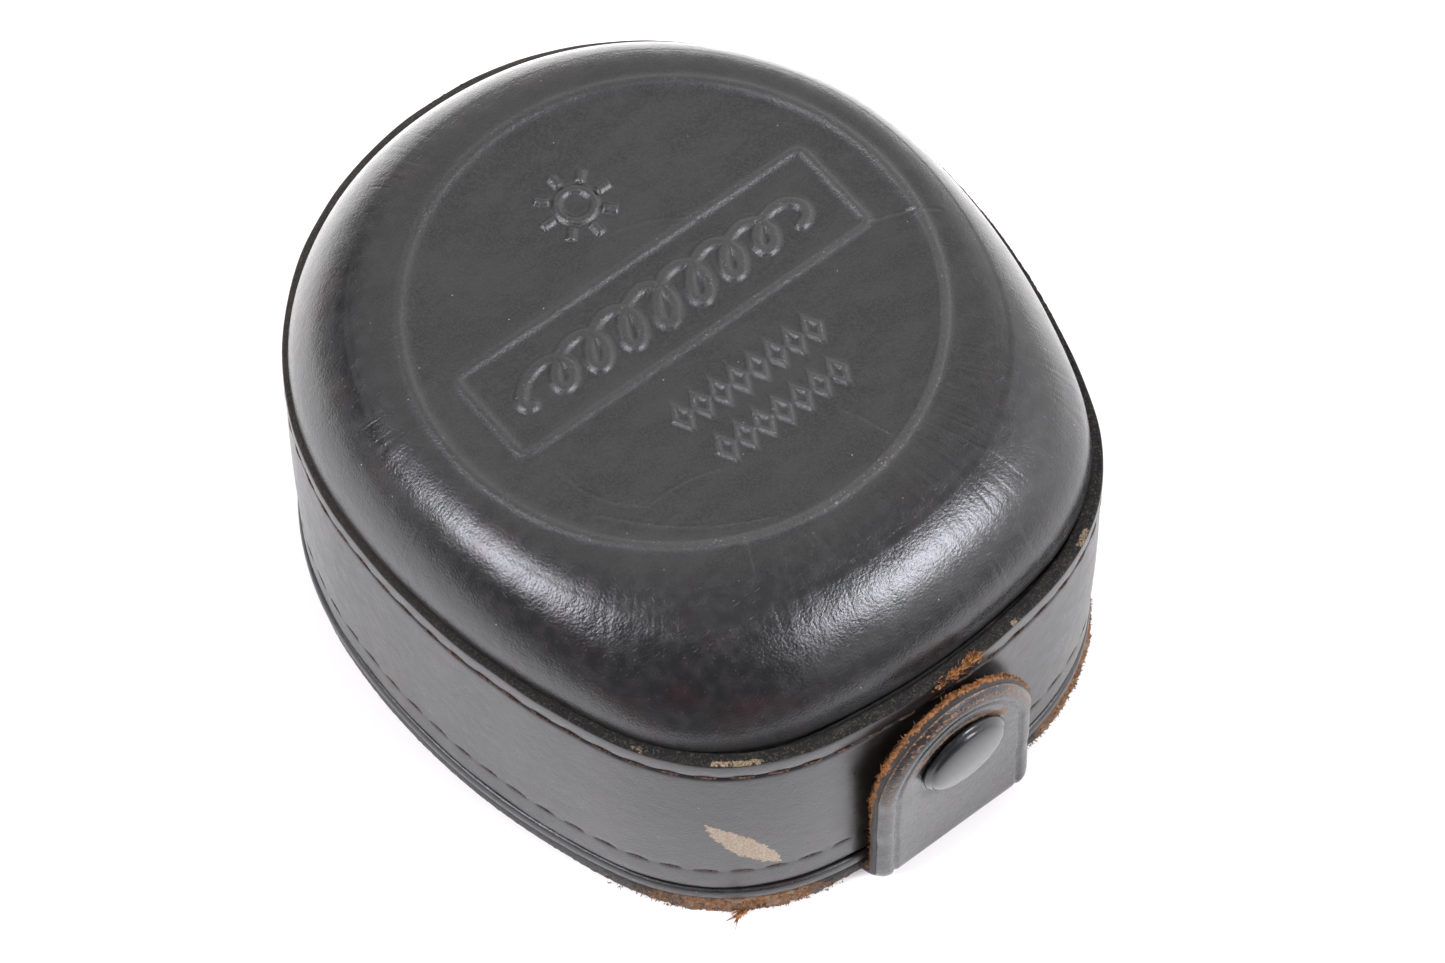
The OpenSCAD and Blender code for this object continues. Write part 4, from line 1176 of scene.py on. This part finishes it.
def tongue_edge():
    """Cut edge of the tongue: black dye toward the face, orange fibres toward the back and over the arch."""
    material, g = new_material("edge_tongue", Specular_IOR_Level=0.35)
    co = rest(g)
    fibre = g.noise(co, 3.6, 6.0, 0.75, 0.8)
    patch = g.noise(co, 0.9, 4.0, 0.6)
    raw, arch = mark(g, "raw"), mark(g, "arch")
    share = g.plus(raw, g.times(arch, 0.42))
    share = g.plus(share, g.times(g.around(patch), 0.9))
    share = g.plus(share, g.times(g.around(fibre), 1.0))
    share = g.step(share, 0.74, 0.95)
    orange = g.mix(g.step(fibre, 0.32, 0.62), (0.07, 0.026, 0.011, 1), (0.36, 0.15, 0.048, 1))
    g.feed(colour=g.mix(share, (0.022, 0.019, 0.018, 1), orange))
    g.feed(rough=g.blend(share, 0.5, 0.9))
    bump(g, fibre, 0.25)
    return material


def worn_tongue():
    material, g = leather("leather_tongue_worn", 0.27, grain=0.8)
    co = rest(g)
    worn = mark(g, "scuff")
    fine = g.noise(g.stretch(co, 1.0, 1.0, 1.4), 2.4, 6.0, 0.75, 0.8)
    share = g.step(g.plus(g.times(worn, 0.62), g.around(fine)), 0.42, 0.56)
    old = g.fed("colour")
    brown = g.mix(g.step(fine, 0.45, 0.75), (0.10, 0.055, 0.035, 1), (0.42, 0.22, 0.11, 1))
    g.feed(colour=g.mix(g.times(share, 0.85), old, brown))
    old_rough = g.fed("rough")
    g.feed(rough=g.blend(share, old_rough, 0.75))
    return material


M_TONGUE_WORN = worn_tongue()
M_TONGUE_EDGE = tongue_edge()
build_tongue()


# ---------------------------------------------------------------- snap cap
def lathe(profile, steps=64):
    """Turns (radius, height) points about Z. The first and last points lie on the axis."""
    profile = np.array(profile, float)
    a = np.arange(steps) * 2 * math.pi / steps
    x = profile[:, 0][:, None] * np.cos(a)
    y = profile[:, 0][:, None] * np.sin(a)
    z = np.tile(profile[:, 1][:, None], (1, steps))
    verts = np.stack([x, y, z], 2).reshape(-1, 3)
    return verts, grid_faces(len(profile), steps, wrap_cols=True)


def enamel():
    material, g = new_material("cap_enamel", Specular_IOR_Level=0.42)
    co = rest(g)
    dull = g.noise(co, 1.2, 4.0)
    fine = g.noise(co, 6.0, 3.0)
    g.feed(colour=g.mix(g.step(dull, 0.5, 0.8), (0.012, 0.012, 0.013, 1), (0.03, 0.029, 0.028, 1)))
    g.feed(rough=g.plus(0.10, g.times(g.step(dull, 0.4, 0.8), 0.12)))
    bump(g, fine, 0.01)
    return material


M_CAP = enamel()


def lean_matrix(length, h):
    """Turns local Z outward from the tongue's face at a length above the fold."""
    y, z = tongue_path(np.array([length]), np.array([h]))
    out = Vector((0, -math.cos(LEAN), -math.sin(LEAN)))
    up = Vector((0, -math.sin(LEAN), math.cos(LEAN)))
    side = up.cross(out)
    return Matrix((
        (side.x, up.x, out.x, TONGUE_X),
        (side.y, up.y, out.y, float(y[0])),
        (side.z, up.z, out.z, float(z[0])),
        (0, 0, 0, 1)))


def placed(verts, matrix):
    m = np.array(matrix)
    return np.asarray(verts) @ m[:3, :3].T + m[:3, 3]


def build_cap():
    r = CAP_R
    profile = [(0.02, 1.44)]
    for i in range(1, 22):
        a = i / 21 * math.pi / 2
        profile.append((r * 0.90 * math.sin(a), 0.70 + 0.74 * math.cos(a) ** 0.9))
    profile += [(r * 0.94, 0.61), (r * 0.975, 0.48), (r * 0.995, 0.34), (r, 0.19), (r * 0.985, 0.04),
                (r * 0.94, -0.06), (r * 0.5, -0.12), (0.02, -0.12)]
    verts, faces = lathe(profile, 96)
    verts = placed(verts, lean_matrix(SNAP_L, TONGUE_T / 2 - 0.02))
    make_mesh("snap_cap_shell", verts, faces[:, ::-1], [M_CAP], "tongue_flap",
              replaces=("snap_cap",))


build_cap()


# ---------------------------------------------------------------- rear hinge
def build_hinge():
    """Strip of leather round the rear, where the shell turns about the base."""
    half = int(11.0 / SPACING)
    index = np.arange(-half, half + 1) % N_AROUND
    side = np.abs(np.arange(-half, half + 1)) / half
    outer = [(-0.45, 0.12), (-1.2, 0.14), (-1.38, 0.3)]
    outer += [(-1.42, z) for z in np.arange(0.5, 10.4, 0.3)]
    outer += [(-1.40, 10.6), (-1.2, 10.9), (-0.7, 10.98), (-0.42, 10.9), (-0.34, 10.6)]
    inner = [(-0.34, z) for z in np.arange(10.2, 0.4, -0.3)]
    points, d, z = carried(outer + inner, len(index))
    n, m = d.shape
    face = points[:, 0] < -1.0
    d = d + face * 0.35 * (np.clip((side - 0.93) / 0.07, 0, 1) ** 2)[:, None]
    d = d + face * 0.22 * np.exp(-((z - 1.9) / 0.35) ** 2)
    d = d + face * 0.03 * np.sin(np.arange(n) * 0.11)[:, None]
    quads = quad_list(grid_faces(n, m, wrap_cols=True))
    quads += [tuple(range(m)), tuple((n - 1) * m + k for k in range(m))[::-1]]
    verts = swept(d, z, index)
    obj = make_mesh("case_hinge", verts, quads, [M_BASE], None, replaces=("rear_hinge",))
    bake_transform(obj)


build_hinge()


# ---------------------------------------------------------------- small parts of the meter
def build_spring():
    """Coil spring under the button."""
    coil_r, wire_r, turns, low_z, high_z = 2.1, 0.28, 6, 12.28, 23.72
    x0, y0 = -17, -21
    steps, sides = turns * 40, 12
    verts = []
    for i in range(steps + 1):
        a = 2 * math.pi * turns * i / steps
        z = low_z + (high_z - low_z) * i / steps
        c = np.array([x0 + coil_r * math.cos(a), y0 + coil_r * math.sin(a), z])
        for k in range(sides):
            b = 2 * math.pi * k / sides
            out = np.array([math.cos(a), math.sin(a), 0.0])
            verts.append(c + wire_r * (out * math.cos(b) + np.array([0, 0, math.sin(b)])))
    quads = quad_list(grid_faces(steps + 1, sides, wrap_cols=True))
    quads += [tuple(range(sides)), tuple(steps * sides + k for k in range(sides))[::-1]]
    obj = make_mesh("button_coil", verts, quads, [LOOKS["spring_steel"]], "base",
                    replaces=("button_spring",))
    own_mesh(obj)


STROKES = {"0": "abdca", "1": "bd", "2": "abvucd", "4": "auv bd", "5": "bauvdc", "6": "bacdvu",
           "8": "uabdcuv"}
CORNERS = {"a": (0, 1), "b": (0.55, 1), "u": (0, 0.5), "v": (0.55, 0.5), "c": (0, 0), "d": (0.55, 0)}


def stroke(start, end, w):
    """Corners of a straight stroke of half width w, with square ends."""
    (px, py), (qx, qy) = start, end
    long = math.hypot(qx - px, qy - py)
    ux, uy = (qx - px) / long, (qy - py) / long
    return [(px - (ux + uy) * w, py - (uy - ux) * w), (px - (ux - uy) * w, py - (uy + ux) * w),
            (qx + (ux + uy) * w, qy + (uy - ux) * w), (qx + (ux - uy) * w, qy + (uy + ux) * w)]


BOX_FACES = np.array([(4, 5, 6, 7), (0, 1, 5, 4), (1, 2, 6, 5), (2, 3, 7, 6), (3, 0, 4, 7), (3, 2, 1, 0)])


def figures(name, words, slot, body, width):
    """Plain square numerals. Each word is (text, x, y, z, turn in degrees, height), drawn flat."""
    verts, faces = [], []
    advance, tall = 0.8, 0.05
    for text, x0, y0, z0, turn, size in words:
        a = math.radians(turn)
        start = -0.5 * (len(text) * advance - 0.25)
        for i, letter in enumerate(text):
            for p, q in [pair for path in STROKES[letter].split(" ") for pair in zip(path[:-1], path[1:])]:
                faces += quad_list(BOX_FACES + len(verts))
                for level in (0.0, tall):
                    for cx, cy in stroke(CORNERS[p], CORNERS[q], 0.5 * width / size):
                        lx, ly = (cx + start + i * advance) * size, (cy - 0.5) * size
                        verts.append((x0 + lx * math.cos(a) - ly * math.sin(a),
                                      y0 + lx * math.sin(a) + ly * math.cos(a), z0 + level))
    make_mesh(name, verts, faces, [LOOKS[slot]], body, smooth=False)


def build_figures():
    words = []
    for i, text in enumerate(("1", "2", "4", "8", "16", "22", "45", "64", "80", "125", "250", "500")):
        a = 90 - i * 30 - 7.5
        x, y = 20.35 * math.cos(math.radians(a)), 20.35 * math.sin(math.radians(a))
        words.append((text, x, y, 33.21, a - 90, 1.25))
    figures("dial_figures", words, "marking_white", "dial", 0.17)
    words = []
    for i, text in enumerate(("0", "2", "4", "6", "8")):
        a = 90 + 32 - i * 16
        x, y = 17.7 * math.cos(math.radians(a)), -7 + 17.7 * math.sin(math.radians(a))
        words.append((text, x, y, 28.51, a - 90, 1.5))
    figures("scale_figures", words, "marking_black", "base", 0.2)


def scale_paint():
    """Cream plate with a printed arc that runs from red to blue under the pointer's tip."""
    material, g = new_material("scale_paint", Roughness=0.5)
    co = g.put("ShaderNodeTexCoord").outputs["Object"]
    parts = g.put("ShaderNodeSeparateXYZ", {0: co})
    x, y = parts.outputs[0], g.plus(parts.outputs[1], 7 * MM)
    r = g.math("SQRT", g.plus(g.times(x, x), g.times(y, y)))
    turn = g.math("ARCTAN2", x, y)
    hue = g.mix(g.step(turn, -0.65, 0.0), (0.62, 0.05, 0.03, 1), (0.82, 0.78, 0.66, 1))
    hue = g.mix(g.step(turn, 0.0, 0.65), hue, (0.04, 0.12, 0.5, 1))
    ring = g.times(g.step(r, 12.35 * MM, 12.4 * MM), g.step(r, 13.75 * MM, 13.7 * MM))
    ends = g.math("LESS_THAN", g.math("ABSOLUTE", turn), 0.74)
    speck = g.noise(co, 2500.0, 3.0)
    plate = g.mix(speck, (0.78, 0.74, 0.62, 1), (0.84, 0.80, 0.69, 1))
    g.feed(colour=g.mix(g.times(ring, ends), plate, hue))
    bump(g, speck, 0.005)
    return material


# ---------------------------------------------------------------- CAD nodes that keep their own shape
def simple(name, colour, rough=0.5, metal=0.0, scale=1500.0, depth=0.02, transmission=0.0):
    """Plain material: a lightly mottled colour and roughness, a fine grain and softened edges."""
    material, g = new_material(name, Metallic=metal, Transmission_Weight=transmission)
    co = g.put("ShaderNodeTexCoord").outputs["Object"]
    n1 = g.noise(co, scale, 4.0)
    n2 = g.noise(co, scale * 0.12, 3.0)
    dark = tuple(0.8 * c for c in colour[:3]) + (1,)
    light = tuple(min(1.0, 1.12 * c) for c in colour[:3]) + (1,)
    g.feed(colour=g.mix(g.step(n2, 0.3, 0.7), dark, light))
    g.feed(rough=g.plus(rough, g.times(g.around(n2), 0.2)))
    if not transmission:
        soft = g.put("ShaderNodeBevel", {"Radius": 0.12 * MM}, samples=4).outputs[0]
        bump(g, n1, depth, Normal=soft)
    return material


LOOKS = {
    "felt": simple("felt_red", (0.12, 0.012, 0.016, 1), 0.95, 0.0, 4000.0, 0.12),
    "fibre": simple("fibre_black", (0.03, 0.027, 0.024, 1), 0.55),
    "nickel": simple("nickel_plate", (0.62, 0.60, 0.55, 1), 0.25, 1.0),
    "leather_base": M_BASE,
    "thread": M_THREAD,
    "housing_moulding": simple("ivory_moulding", (0.44, 0.39, 0.285, 1), 0.32, 0.0, 900.0, 0.01),
    "dial_black": simple("black_moulding", (0.02, 0.02, 0.021, 1), 0.3, 0.0, 900.0, 0.01),
    "marking_white": simple("white_paint", (0.85, 0.85, 0.80, 1), 0.5),
    "bezel_metal": simple("turned_aluminium", (0.75, 0.75, 0.76, 1), 0.28, 1.0),
    "scale_face": scale_paint(),
    "marking_black": simple("black_paint", (0.02, 0.02, 0.02, 1), 0.5),
    "window_glass": simple("window_clear", (0.95, 0.97, 0.97, 1), 0.03, 0.0, 900.0, 0.0, transmission=1.0),
    "pointer_red": simple("red_paint", (0.6, 0.03, 0.02, 1), 0.4),
    "copper": simple("copper_wire", (0.75, 0.35, 0.18, 1), 0.35, 1.0),
    "magnet_steel": simple("magnet_steel", (0.30, 0.30, 0.32, 1), 0.4, 1.0),
    "soft_iron": simple("soft_iron", (0.42, 0.42, 0.44, 1), 0.4, 1.0),
    "movement_brass": simple("brass_sheet", (0.75, 0.57, 0.26, 1), 0.3, 1.0),
    "jewel": simple("ruby", (0.6, 0.05, 0.12, 1), 0.1),
    "spring_steel": simple("spring_steel", (0.5, 0.52, 0.6, 1), 0.3, 1.0),
    "lens_clear": simple("lens_clear", (0.92, 0.95, 0.95, 1), 0.08, 0.0, 900.0, 0.0, transmission=0.9),
    "filter_red": simple("filter_red", (0.6, 0.03, 0.02, 1), 0.15),
    "filter_blue": simple("filter_blue", (0.03, 0.07, 0.5, 1), 0.15),
    "cell_face": simple("cell_face", (0.10, 0.095, 0.11, 1), 0.45, 0.3),
    "button_metal": simple("button_metal", (0.68, 0.66, 0.62, 1), 0.3, 1.0),
    "screw_steel": simple("screw_steel", (0.6, 0.6, 0.6, 1), 0.35, 1.0),
    "leather_moulded": M_WELT,
    "leather_tongue": M_TONGUE,
    "cap_enamel": M_CAP,
}
build_spring()
build_figures()
slot_of = {s["node"]: s["material_slot"] for s in frame["record"]["subparts"]}
for node_name, node_object in frame["nodes"].items():
    look = LOOKS[slot_of[node_name]]
    node_object.data.materials.clear()
    node_object.data.materials.append(look)
